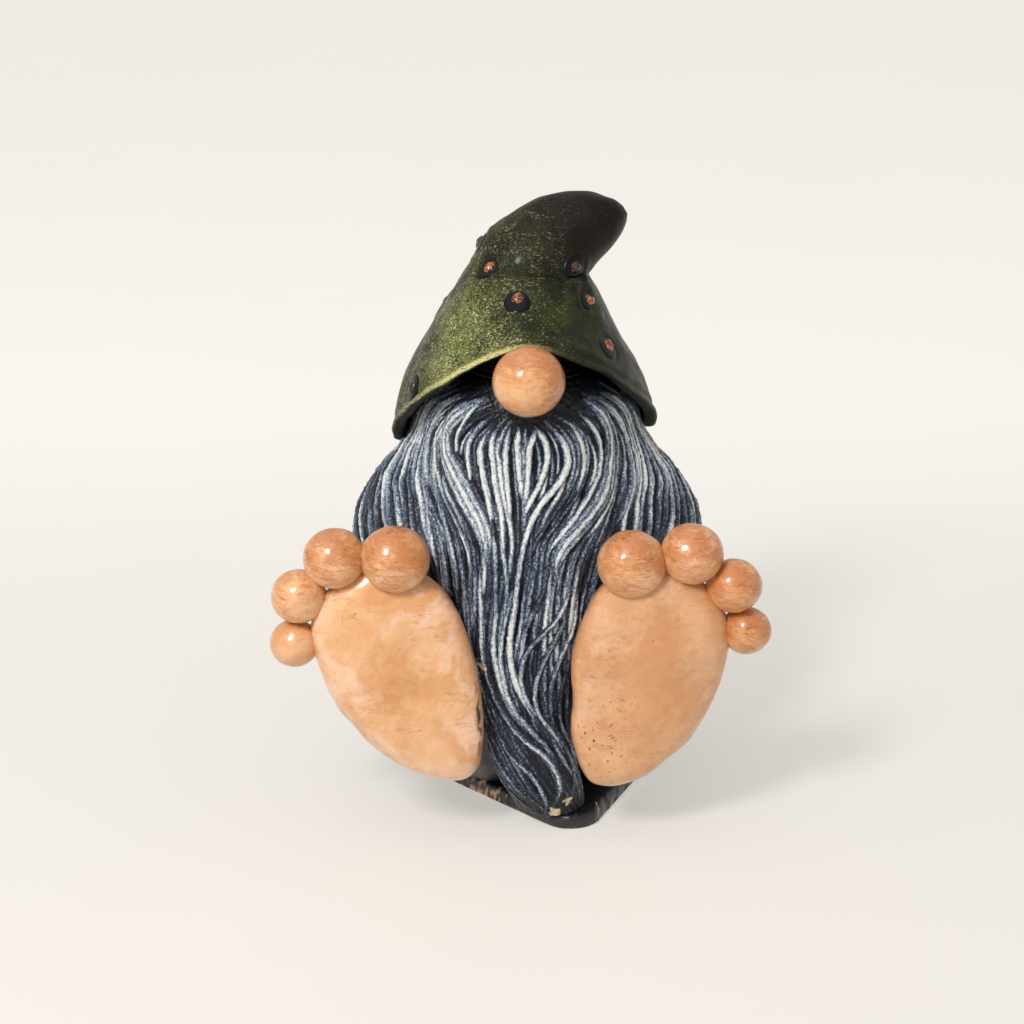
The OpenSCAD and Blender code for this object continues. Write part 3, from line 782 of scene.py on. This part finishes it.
def torso_profile():
    """The torso's radius at each height, measured from its vertices."""
    points = corners("torso")
    radius = np.hypot(points[:, 0], points[:, 1])
    heights = np.unique(points[:, 2].round(2))
    reach = np.array([radius[np.abs(points[:, 2] - z) < 0.02].max() for z in heights])
    whole = reach > CROWN_R - 0.5
    return heights[whole], reach[whole]


torso_heights, torso_reaches = torso_profile()


def torso_r(z):
    """The torso's radius at a height, between the measured ones."""
    return np.interp(z, torso_heights, torso_reaches)


def coat_form():
    """The coat: the torso's profile turned about the axis, raised by long soft folds that fan out towards
    the hem and lean a little to one side."""
    z, a = sheet(np.linspace(torso_heights[0], torso_heights[-1], COAT_ROWS), full_turn(COAT_TURNS))
    fold = np.sin(11 * a + 0.03 * z + 1.2 * np.sin(3 * a)) + 0.5 * np.sin(23 * a - 0.05 * z + np.sin(5 * a))
    depth = 0.55 * ease((95 - z) / 40) * ease((z - 4) / 10)
    reach = torso_r(z) + depth * (fold - 1.2)
    points = np.stack([reach * np.sin(a), -reach * np.cos(a), z], -1)
    points += normals(points) * (0.15 * unevenness(points, 9, 90))[..., None]
    return capped(points), {"crest": ease((fold + 0.2) / 1.7) * ease((95 - z) / 30)}


coat_mesh, coat_values = coat_form()
make_piece("torso_coat", coat_mesh, COAT, ["torso"], coat_values)


def leg_form(side):
    """A trouser leg: a round tube from inside the coat to the foot's back, whose radius swells in three
    soft rolls of cloth."""
    low, high = box(f"leg_{side}")
    radius = (high[0] - low[0]) / 2
    front = box(f"foot_{side}")[1][1] - FOOT_WALL
    y, a = sheet(np.linspace(high[1] + INTO_COAT, front, LEG_ROWS), full_turn(LEG_TURNS))
    middle_x, middle_z = (low[0] + high[0]) / 2, (low[2] + high[2]) / 2
    roll = np.sin((y - front) * 0.55 + 1.1 * np.sin(a) + 0.6 * np.sin(3 * a + 1))
    roll *= 0.7 + 0.3 * np.sin(2 * a)
    reach = radius - 0.9 + 0.55 * roll
    points = np.stack([middle_x + reach * np.cos(a), y, middle_z + reach * np.sin(a)], -1)
    return capped(points), {"crest": ease(roll * 0.8)}


for side in SIDES:
    leg_mesh, leg_values = leg_form(side)
    make_piece(f"leg_{side}_trouser", leg_mesh, COAT, [f"leg_{side}"], leg_values)

slab_low, slab_high = box("base_slab")
LOBE_R = 8
LOBE_X = 11
OUTLINE_POINTS = 360
BELT_STEPS = 1500


def slab_outline():
    """The line round a large circle and the small circle in front of it, like a belt round two wheels:
    in each direction the circle that reaches farther gives the point. It is then spaced evenly."""
    big_r = (slab_high[0] - slab_low[0]) / 2
    big = np.array([(slab_high[0] + slab_low[0]) / 2, slab_high[1] - big_r])
    small = np.array([LOBE_X, slab_low[1] + LOBE_R])
    turn = np.linspace(0, 2 * math.pi, BELT_STEPS)[:, None]
    way = np.concatenate([np.cos(turn), np.sin(turn)], 1)
    farther = (way @ big + big_r > way @ small + LOBE_R)[:, None]
    line = np.where(farther, big + big_r * way, small + LOBE_R * way)
    run = np.concatenate([[0], np.cumsum(np.linalg.norm(np.diff(line, axis=0), axis=1))])
    even = np.linspace(0, run[-1], OUTLINE_POINTS, endpoint=False)
    return np.stack([np.interp(even, run, line[:, 0]), np.interp(even, run, line[:, 1])], -1)


def slab_form():
    """The foot slab: its outline shrunk from ring to ring, so that the edge is a worn quarter-round, with
    a crumbly hand-cut side."""
    outline = slab_outline()
    middle = outline.mean(0)
    way = (outline - middle) / np.linalg.norm(outline - middle, axis=1)[:, None]
    rows = [(0.3, 0), (0.7, 0), (0.98, 0), (1.0, 0.12), (1.0, 0.5), (0.995, 0.75), (0.98, 0.9), (0.955, 0.98),
            (0.92, 1), (0.8, 1), (0.6, 1), (0.3, 1)]
    share, high = np.array(rows).T[..., None, None]
    high = high * slab_high[2]
    plan = middle + (outline - middle) * share
    points = np.concatenate([plan, np.broadcast_to(high, plan.shape[:2] + (1,))], -1)
    rough = 0.3 * unevenness(points, 5, 81) + 0.18 * unevenness(points, 1.8, 82)
    side = (share[..., 0] > 0.9) & (high[..., 0] > 0.05)
    out = np.concatenate([way, np.zeros((OUTLINE_POINTS, 1))], 1)
    points = points + out * ((rough - 0.45) * side)[..., None]
    x, y, _ = np.moveaxis(points, -1, 0)
    scribble = ease((unevenness(points, 2, 84) + 1.7 * hump(x, -11, 11) - 1.6) * 4) * (y < -10)
    return capped(points), {"crest": ease(0.3 + 0.6 * unevenness(points, 3, 83)) * 0.6, "peach": scribble}


slab_mesh, slab_values = slab_form()
make_piece("base_slab_worn", slab_mesh, COAT, ["base_slab"], slab_values)


# ---- beard and hair ----

def beard_edges():
    """The height, right edge angle and left edge angle of the beard, in degrees, measured from the rows of
    its CAD solid."""
    points = corners("beard")
    angle = np.degrees(np.arctan2(points[:, 0], -points[:, 1]))
    heights, count = np.unique(points[:, 2].round(1), return_counts=True)
    rows = [(z, angle[near].min(), angle[near].max()) for z in heights[count > 24]
            for near in [np.abs(points[:, 2] - z) < 0.06]]
    return np.array(rows).T


edge_z, edge_right, edge_left = beard_edges()
BEARD_T = 8
HAIR_T = 5.4
HAIR_END = 118

# Rows of [height, thickness] of the beard along its middle and along its edges, and of the side hair.
HEIGHTS = (4, 10, 18, 29, 42, 58, 70, 80, 90, 100, 108, 115, 122)
MIDDLE_MORE = (11.5, 8.5, 3, 0, -1, -1, -0.5, 1, 4, 5.5, 5.5, 2.5, -2.5)
EDGE_MORE = (4.5, 1.5, -1.5, -3, -3.5, -3.5, -3, -2.5, -2, -2.5, -4.8, -6.6, -6.9)
BEARD_MIDDLE = [[z, BEARD_T + more] for z, more in zip(HEIGHTS, MIDDLE_MORE)]
BEARD_EDGE = [[z, BEARD_T + more] for z, more in zip(HEIGHTS, EDGE_MORE)]
SIDE_HAIR = [[z, HAIR_T * share] for z, share in (
    (47, 0.62), (57, 0.82), (66, 0.92), (82, 0.92), (87, 0.6), (91, 0.62), (99, 0.72), (112, 0.5))]
HAIR_TOP = [[0, 112], [0.3, 104], [0.65, 97], [1, 92]]
HAIR_BOTTOM = [[0, 60], [0.4, 52], [0.7, 47], [1, 47]]

# Flow lines of the beard, from beside the nose out and down to the tip, as [angle, height] from the
# right edge to the left. Strands are spread between neighbouring lines.
BEARD_LINES = [
    [(-21, 108), (-44, 103), (-53, 95), (-48, 88), (-36, 79), (-28, 70), (-25, 56), (-22, 40), (-17, 25),
     (-7, 11), (4, 4)],
    [(-14, 108), (-28, 103), (-37, 96), (-32, 88), (-20, 81), (-14, 72), (-14, 57), (-15, 41), (-9, 26),
     (0, 13), (9, 4)],
    [(-7, 106), (-14, 102), (-19, 97), (-16, 89), (-11, 81), (-8, 72), (-9, 57), (-10, 42), (-5, 27),
     (4, 14), (12, 4)],
    [(-2, 104), (-3, 101), (-3, 96), (-3, 89), (-2, 81), (-2, 72), (-5, 58), (-6, 43), (-1, 27), (7, 14),
     (14, 4)],
    [(3, 104), (9, 102), (14, 96), (12, 88), (5, 80), (2, 72), (0, 58), (-2, 43), (3, 27), (11, 13),
     (17, 4)],
    [(8, 106), (18, 102), (22, 94), (19, 87), (12, 79), (7, 72), (5, 58), (5, 43), (7, 26), (15, 12),
     (18, 4)],
    [(14, 107), (31, 101), (40, 92), (31, 85), (21, 79), (13, 71), (11, 59), (12, 42), (13, 25), (18, 13),
     (19, 4)],
    [(22, 108), (44, 103), (54, 95), (49, 88), (38, 80), (29, 72), (22, 58), (17, 42), (15, 28), (20, 14),
     (21, 4)]]
# Flow lines of the side hair, for the right side: out from under the brim, down and back to the front.
SIDE_LINES = [
    [(22, 109), (46, 104), (55, 95), (50, 88), (38, 80), (31, 71), (27, 58)],
    [(29, 110), (56, 104), (67, 95), (61, 88), (48, 81), (39, 72), (34, 59)],
    [(45, 110), (71, 101), (80, 92), (76, 84), (62, 77), (50, 69), (43, 56)],
    [(60, 107), (85, 97), (94, 87), (90, 79), (75, 71), (63, 63), (55, 51)],
    [(76, 103), (99, 92), (108, 81), (103, 72), (90, 64), (78, 55), (68, 45)],
    [(92, 99), (112, 86), (120, 74), (117, 65), (105, 56), (94, 46)],
    [(106, 95), (122, 80), (130, 67), (128, 57), (118, 44)]]


def hair_reach(angle, z):
    """The radius of the plain hair: the torso's, plus a thickness that swells from the beard's edges to
    its middle, and runs on into the side hair's."""
    left, right = np.interp(z, edge_z, edge_left), np.interp(z, edge_z, edge_right)
    half = np.where(angle > 0, left, -right)
    share = np.abs(angle - (left + right) / 2) / ((left - right) / 2)
    edge, crown = curve(BEARD_EDGE, z), curve(BEARD_MIDDLE, z)
    beard = edge + (crown - edge) * (1 - np.clip(share, 0, 1) ** 2.4)
    near = ease(1 - (np.abs(angle) - half) / 28)
    shoulder = 1.5 * hump(z, 88, 8) * ease((104 - np.abs(angle)) / 20)
    side = edge * near + (curve(SIDE_HAIR, z) + shoulder) * (1 - near)
    return torso_r(z) + np.where(share < 1, beard, side)


CELL_ANGLE, CELL_Z = 0.22, 0.17
MOST_PAINT = 1.2
STRAND_STEPS = 1500
MAP_ANGLE, MAP_TOP = 134, 126
map_shape = (int(MAP_TOP / CELL_Z), int(2 * MAP_ANGLE / CELL_ANGLE))


def evenly(line):
    """A line's points as rows of [share of its points, point]."""
    return [[share, list(point)] for share, point in zip(np.linspace(0, 1, len(line)), line)]


def strand(line, half, height, tone, seed, start=0.0, end=1.0, ribs=0, lift=0.0):
    """A strand laid on the hair, as samples of [cell, height, crest, tone, run, side]: a smooth line
    through points of [angle, height], a rounded cross-section that thins to both ends, and finer ribs
    along it. Its sideways steps are at right angles to the line."""
    rng = np.random.default_rng(seed)
    share = np.linspace(start, end, STRAND_STEPS)
    here = curve(evenly(line), share)
    scale = np.radians(torso_r(here[:, 1]) + BEARD_T)
    step = np.gradient(here, axis=0)
    flat = np.stack([step[:, 0] * scale, step[:, 1]], -1)
    length = np.linalg.norm(flat, axis=1)
    run = np.cumsum(length)
    across = np.stack([flat[:, 1], -flat[:, 0]], -1) / np.maximum(length, 1e-9)[:, None]
    wander = 0.28 * np.sin(run / rng.uniform(5, 9) + rng.uniform(0, 6))
    wander += 0.14 * np.sin(run / rng.uniform(2, 3.5))
    worn = ease((share - start) / (end - start) * 7) * ease((end - share) / (end - start) * 5)
    width = half * (0.35 + 0.65 * worn) * (1 + 0.12 * np.sin(run / rng.uniform(6, 11) + rng.uniform(0, 6)))
    t = np.linspace(-1, 1, 2 * int(half / 0.1) + 3)[None, :]
    off = wander[:, None] + width[:, None] * t
    angle = here[:, :1] + off * across[:, :1] / scale[:, None]
    z = here[:, 1:] + off * across[:, 1:]
    profile = (1 - np.abs(t) ** 2.2) ** 0.8
    rib = 0.5 + 0.5 * np.cos(t * ribs * math.pi + 0.6 * np.sin(run / 4)[:, None] * (ribs > 0))
    rise = lift * worn[:, None] + height * (0.3 + 0.7 * worn)[:, None] * (profile + 0.3 * (rib - 1))
    crest = profile * (0.62 + 0.38 * rib) * (0.6 + 0.4 * worn)[:, None]
    row = np.clip((z / CELL_Z).astype(int), 0, map_shape[0] - 1)
    column = np.clip(((angle + MAP_ANGLE) / CELL_ANGLE).astype(int), 0, map_shape[1] - 1)
    level = 1 - 0.2 * ease((60 - here[:, 1]) / 30) + 0.34 * hump(here[:, 1], 92, 15)
    patches = 1 + 0.22 * np.sin(run / rng.uniform(4, 9) + rng.uniform(0, 6))
    paint = np.minimum(tone * patches * level, MOST_PAINT)[:, None]
    parts = (row * map_shape[1] + column, rise, crest, paint, run[:, None] + seed * 7.3, off + seed * 3.1)
    return np.stack([part.ravel() for part in np.broadcast_arrays(*parts)])


def spread(lines, counts, half, height, rng, end_odd=0.6, tone=(0.75, 1.15)):
    """Strands spread evenly between neighbouring flow lines, with a little disorder. Every second strand
    ends early, where the lines crowd together."""
    found = []
    for first, second, count in zip(lines[:-1], lines[1:], counts):
        length = max(len(first), len(second))
        grid = np.linspace(0, 1, length)
        a, b = curve(evenly(first), grid), curve(evenly(second), grid)
        for k in range(count):
            share = (k + rng.uniform(-0.18, 0.18)) / count
            sizes = half * rng.uniform(0.8, 1.2), height * rng.uniform(0.75, 1.15), rng.uniform(*tone)
            seed, start = int(rng.integers(1e6)), rng.uniform(0, 0.06)
            end = end_odd * rng.uniform(0.85, 1.1) if k % 2 else 1.0
            found.append(strand(a * (1 - share) + b * share, *sizes, seed, start, end))
    return found


# Main strands of the beard, as [half width, ribs, tone, lift, points of [distance from the middle, height]].
MAIN_STRANDS = [
    # The broad lock that sweeps out from under the nose on the right side, and the hook inside it.
    [3.3, 4, 1.3, 1.3, [(-10, 109), (-19, 104.4), (-23, 99.4), (-22.4, 94.6), (-19, 90), (-15, 85.3),
        (-11.5, 80.5), (-10.3, 75), (-11.5, 67)]],
    [0.9, 1, 1.1, 0.5, [(-11.9, 108), (-17, 102), (-19, 98), (-18.6, 92)]],
    [0.8, 0, 0.9, 0.3, [(-9, 105.5), (-13.5, 101), (-15.5, 96.5), (-15, 91), (-13, 86)]],
    # Strands outside it, towards the shoulder.
    [1.1, 2, 1.0, 0.4, [(-14, 109), (-24, 103), (-28, 97), (-27, 91), (-23, 85), (-18, 79), (-15, 72),
        (-15.5, 63)]],
    [1.0, 2, 0.85, 0.3, [(-20, 107), (-28, 101), (-31, 95), (-30, 88), (-26, 81), (-21, 75), (-18, 68)]],
    # The strands that swell out and meet again in the middle.
    [0.95, 0, 1.0, 0.4, [(-9, 103), (-11.9, 98), (-11.8, 92.4), (-9.4, 84.6), (-8.3, 76.6), (-7.6, 70),
        (-8, 60.6), (-8.4, 46), (-4.1, 33.7), (3, 25.2), (9.8, 20)]],
    [0.85, 0, 1.0, 0.4, [(-6.6, 104), (-8.9, 98), (-8.6, 91), (-7, 84), (-6, 77), (-5.2, 68), (-5.8, 58),
        (-6.4, 48)]],
    [0.8, 0, 1.1, 0.4, [(-4.7, 103), (-5.6, 97), (-5.6, 91), (-4.6, 85), (-3.8, 79)]],
    [0.85, 0, 1.15, 0.4, [(-2.4, 103), (-2.6, 97), (-2.4, 91), (-1.8, 85)]],
    [0.8, 0, 1.15, 0.4, [(2.1, 102.5), (0.9, 98), (0.5, 93.7), (-0.3, 88.3), (-1.2, 84)]],
    [0.85, 0, 1.2, 0.5, [(1.6, 103), (4.2, 99.5), (4.9, 95.2), (3, 89.4), (0.4, 84.6), (-1.4, 80)]],
    [1.0, 0, 1.2, 0.6, [(3.9, 104.6), (8.2, 99.5), (9.4, 94), (7.5, 89.5), (3.5, 84.5), (0.4, 79.5),
        (-1.6, 74), (-2.8, 66), (-4.1, 52), (-2.9, 40), (1.1, 31.6), (7, 24)]],
    # Fine dark strands between the middle and the left side.
    [0.6, 0, 0.55, 0.1, [(7, 105), (11.5, 100), (12.4, 94), (10.4, 88), (6, 82), (2, 76), (0.5, 70)]],
    [0.6, 0, 0.6, 0.1, [(9.5, 105.5), (14, 100), (15, 94), (13, 87.5), (8.5, 81.5), (4, 76), (2, 70)]],
    # The locks that sweep out on the left side.
    [1.0, 1, 1.1, 0.5, [(12.6, 105.5), (17.4, 100.4), (19.2, 94.4), (17.6, 88.4), (13, 82.4), (7.5, 77),
        (3.8, 71)]],
    [2.4, 3, 1.3, 1.2, [(14.8, 108), (20.6, 103.7), (23, 98.2), (23, 92.6), (20.6, 87), (15.6, 81.4),
        (9, 76), (6.6, 71), (8.2, 65)]],
    [1.0, 1, 1.0, 0.4, [(18.5, 108), (24.6, 102.5), (27, 97), (26.4, 91), (22.6, 84.6), (17, 79),
        (12, 74)]],
    [0.9, 1, 0.8, 0.3, [(23, 106.5), (28.6, 100), (30.6, 93.6), (29.6, 87), (25.4, 80.5), (20, 75)]],
    # The long strands that turn with the beard towards its tip.
    [1.3, 2, 1.1, 0.6, [(-12, 72), (-11.8, 60.6), (-10.9, 46.2), (-8, 35.7), (-2.6, 27.2), (4.8, 19.6),
        (8, 12.4), (6, 5.5)]],
    [0.9, 1, 0.9, 0.3, [(-15, 68), (-15, 56), (-13.2, 43), (-10.2, 32), (-5.4, 23), (1.4, 15.4), (4.6, 9),
        (4, 4)]],
    [1.0, 1, 0.7, 0.2, [(-18, 63), (-17.4, 52), (-15, 41.7), (-12, 29.5), (-8.4, 19.4), (-3.4, 12),
        (2.6, 6.6)]],
    [0.9, 0, 1.0, 0.4, [(-2, 70), (-5.4, 57), (-6.4, 44), (-4.4, 35), (0.6, 27.6), (6, 21.4), (9.6, 14)]],
    [1.0, 1, 1.0, 0.5, [(11.4, 65.5), (8, 59), (3.6, 53.6), (-0.4, 48), (-1.6, 41.6), (0.6, 34.6),
        (5, 28)]],
    [1.0, 1, 1.0, 0.4, [(10.8, 60), (7.6, 53), (4.2, 46), (2, 38.6), (2.9, 31.6), (7, 25), (11, 18)]],
    [0.9, 0, 0.9, 0.3, [(12.6, 66), (11.4, 55), (8.4, 46), (6, 38), (6.2, 30), (9.4, 22.6), (12.6, 15),
        (11.6, 7)]],
    [0.8, 0, 0.7, 0.2, [(5.4, 72), (3.4, 64), (0.4, 58), (-1.8, 52)]],
    [0.8, 0, 0.8, 0.2, [(13, 56), (11, 47), (8.8, 38), (9, 29), (12, 20.6), (14, 13)]]]


def seen_from_front(points):
    """Points of [distance from the middle, height] as [angle, height] on the plain beard."""
    away, z = np.array(points, float).T
    share = away / (torso_r(z) + curve(BEARD_MIDDLE, z))
    return np.stack([np.degrees(np.arcsin(np.clip(share, -1, 1))), z], -1)


def hair_map():
    """The raised strands of all the hair, unrolled on a grid of angle and height: fine dark strands all
    over, wider pale ones above them, and the main ones on top. Where strands cross, the higher is seen."""
    rng = np.random.default_rng(5)
    laid = spread(BEARD_LINES, [9, 8, 7, 7, 7, 8, 9], 0.55, 0.55, rng, tone=(0.35, 0.8))
    laid += spread(BEARD_LINES, [4, 3, 2, 2, 2, 3, 4], 0.8, 1.0, rng, end_odd=1.0, tone=(0.55, 1.0))
    laid += spread(BEARD_LINES[:2], [3], 0.9, 1.2, rng, tone=(0.6, 0.9))
    laid += spread(BEARD_LINES[-2:], [3], 0.9, 1.2, rng, tone=(0.5, 0.8))
    for sign in SIDES.values():
        lines = [[(sign * angle, z) for angle, z in line] for line in SIDE_LINES]
        laid += spread(lines, [8, 8, 8, 8, 8, 8], 0.55, 0.55, rng, end_odd=0.95, tone=(0.3, 0.7))
        laid += spread(lines, [3, 4, 4, 4, 4, 4], 1.0, 1.45, rng, end_odd=0.9, tone=(0.55, 1.15))
    for number, (half, ribs, tone, lift, points) in enumerate(MAIN_STRANDS):
        laid.append(strand(seen_from_front(points), half, 1.2, tone, 300 + number, ribs=ribs, lift=lift))
    samples = np.concatenate(laid, axis=1)
    samples = samples[:, samples[1].argsort(kind="stable")]
    maps = np.zeros((5, *map_shape))
    flat = maps.reshape(5, -1)
    flat[:, samples[0].astype(int)] = samples[1:]
    return maps


hair_maps = hair_map()


def read_map(which, angle, z):
    """The value of one of the hair's maps at an angle and a height, mixed from its four nearest cells."""
    row = np.clip(z / CELL_Z - 0.5, 0, map_shape[0] - 1.001)
    column = np.clip((angle + MAP_ANGLE) / CELL_ANGLE - 0.5, 0, map_shape[1] - 1.001)
    i, j = row.astype(int), column.astype(int)
    p, q = row - i, column - j
    chart = hair_maps[which]
    return ((1 - p) * ((1 - q) * chart[i, j] + q * chart[i, j + 1])
            + p * ((1 - q) * chart[i + 1, j] + q * chart[i + 1, j + 1]))


# Where the paint is chipped to the pale cast: [angle, height, radius].
CHIPS = [(8, 5, 1.6), (12, 8, 1.0), (-14, 44, 1.2), (38, 64, 2.2), (34, 67, 1.2)]


def on_round(angle, reach, z):
    """Points at a distance from the axis, at an angle in degrees from the front, and at a height."""
    turn = np.radians(angle)
    return np.stack([reach * np.sin(turn), -reach * np.cos(turn), z], -1)


def hair_surface(angle, z, thin):
    """Points of the hair at each angle and height, and what its paint reads there. thin fades the hair to
    nothing at its ends."""
    rise = read_map(0, angle, z)
    plain = hair_reach(angle, z)
    under = torso_r(z) - 0.4
    reach = under + (plain - 0.6 + rise - under) * thin
    points = on_round(angle, reach, z)
    points += 0.1 * unevenness(points, 1.6, 55)[..., None] * normals(points, ring=False)
    chip = np.zeros(angle.shape)
    for at, high, radius in CHIPS:
        away = np.hypot((angle - at) * np.radians(46), z - high) + 0.5 * unevenness(points, 1.8, 56)
        chip = np.maximum(chip, ease((radius - away) * 2))
    keys = ("crest", "tone", "run", "side")
    values = {key: read_map(which, angle, z) for which, key in enumerate(keys, 1)}
    return points, {**values, "chip": chip}


def hair_piece(name, node, angle, z, thin):
    """A closed shell of hair over the torso, with its carved outside and a plain inside."""
    outside, values = hair_surface(angle, z, thin)
    inner_angle, inner_z = angle[:, ::INNER_STEP], z[:, ::INNER_STEP]
    inside = on_round(inner_angle, torso_r(inner_z) - 1.2, inner_z)
    back = np.zeros(inside.shape[:2])
    whole = {key: np.concatenate([value, back], 1) for key, value in values.items()}
    make_piece(name, shell(outside, inside), HAIR, [node], whole)


beard_low, beard_high = box("beard")
BEARD_ROWS, BEARD_COLUMNS = 400, 201
HAIR_ROWS, HAIR_COLUMNS = 260, 181
beard_heights = np.linspace(beard_low[2], beard_high[2], BEARD_ROWS)
beard_z, beard_s = sheet(beard_heights, np.linspace(0, 1, BEARD_COLUMNS))
beard_edge = [np.interp(beard_z, edge_z, edge) for edge in (edge_right, edge_left)]
beard_angle = beard_edge[0] * (1 - beard_s) + beard_edge[1] * beard_s
hair_piece("beard_strands", "beard", beard_angle, beard_z, np.ones(beard_z.shape))

for side, sign in SIDES.items():
    v, s = sheet(np.linspace(0, 1, HAIR_ROWS), np.linspace(0, 1, HAIR_COLUMNS))
    low, high = curve(HAIR_BOTTOM, s), curve(HAIR_TOP, s)
    z = low + (high - low) * v
    z_first = HAIR_BOTTOM[0][1] + (HAIR_TOP[0][1] - HAIR_BOTTOM[0][1]) * v
    first = np.interp(z_first, edge_z, edge_left if sign > 0 else -edge_right)
    angle = sign * (first + (HAIR_END - first) * s)
    thin = np.sqrt(np.clip((1 - s) * 14, 0, 1)) * np.sqrt(np.clip(v * 16, 0.02, 1))
    hair_piece(f"hair_{side}_strands", f"hair_{side}", angle, z, thin)


# ---- floor, light and camera ----

def floor():
    """A wide pale floor that glows a little, and more at its far end, so that it looks evenly lit."""
    mesh = bpy.data.meshes.new("floor")
    half = 6.0
    edge = [(-half, -half, 0), (half, -half, 0), (half, half, 0), (-half, half, 0)]
    mesh.from_pydata(edge, [], [(0, 1, 2, 3)])
    paint = Paint("pale floor", Emission_Color=rgb(243, 238, 231))
    away = paint.node("SeparateXYZ", {"Vector": paint.place}, "Y")
    far = paint.times(paint.between(away, 0.02, 0.4), 0.17)
    paint.set(paint.shader, "Emission Strength", paint.plus(far, 0.525))
    paint.coat(1, 160, 157, 153)
    paint.coat(paint.noise(120, 3), 166, 163, 158)
    mesh.materials.append(paint.done(0.7, paint.bump(paint.noise(1.5, 3), 0.02)))
    plane = bpy.data.objects.new("floor", mesh)
    bpy.context.collection.objects.link(plane)


def lamp(name, place, size, power, colour=(1, 1, 1)):
    """A soft box that points at the figurine's middle."""
    light = bpy.data.lights.new(name, "AREA")
    light.shape = "RECTANGLE"
    light.size, light.size_y = size
    light.energy = power
    light.color = colour
    body = bpy.data.objects.new(name, light)
    body.location = place
    aim = LOOK_AT - body.location
    body.rotation_euler = aim.to_track_quat("-Z", "Y").to_euler()
    bpy.context.collection.objects.link(body)


LOOK_AT = Vector((-0.00395, 0, 0.0693))
floor()
lamp("window", (-0.42, -0.72, 0.8), (0.2, 0.28), 9, (1.0, 0.98, 0.95))
lamp("sky", (-0.3, 0.0, 1.2), (1.0, 1.0), 1.5)

world = bpy.data.worlds.new("studio")
world.use_nodes = True
world.node_tree.nodes["Background"].inputs["Color"].default_value = (1, 0.985, 0.965, 1)
world.node_tree.nodes["Background"].inputs["Strength"].default_value = 0.55
bpy.context.scene.world = world
bpy.context.scene.view_settings.view_transform = "Standard"

CAMERA_HIGH = math.radians(18)
CAMERA_AWAY = 0.6
camera = bpy.data.cameras.new("camera")
camera.lens = 80
eye = bpy.data.objects.new("camera", camera)
eye.location = LOOK_AT + CAMERA_AWAY * Vector((0, -math.cos(CAMERA_HIGH), math.sin(CAMERA_HIGH)))
eye.rotation_euler = (math.pi / 2 - CAMERA_HIGH, 0, 0)
bpy.context.collection.objects.link(eye)
bpy.context.scene.camera = eye
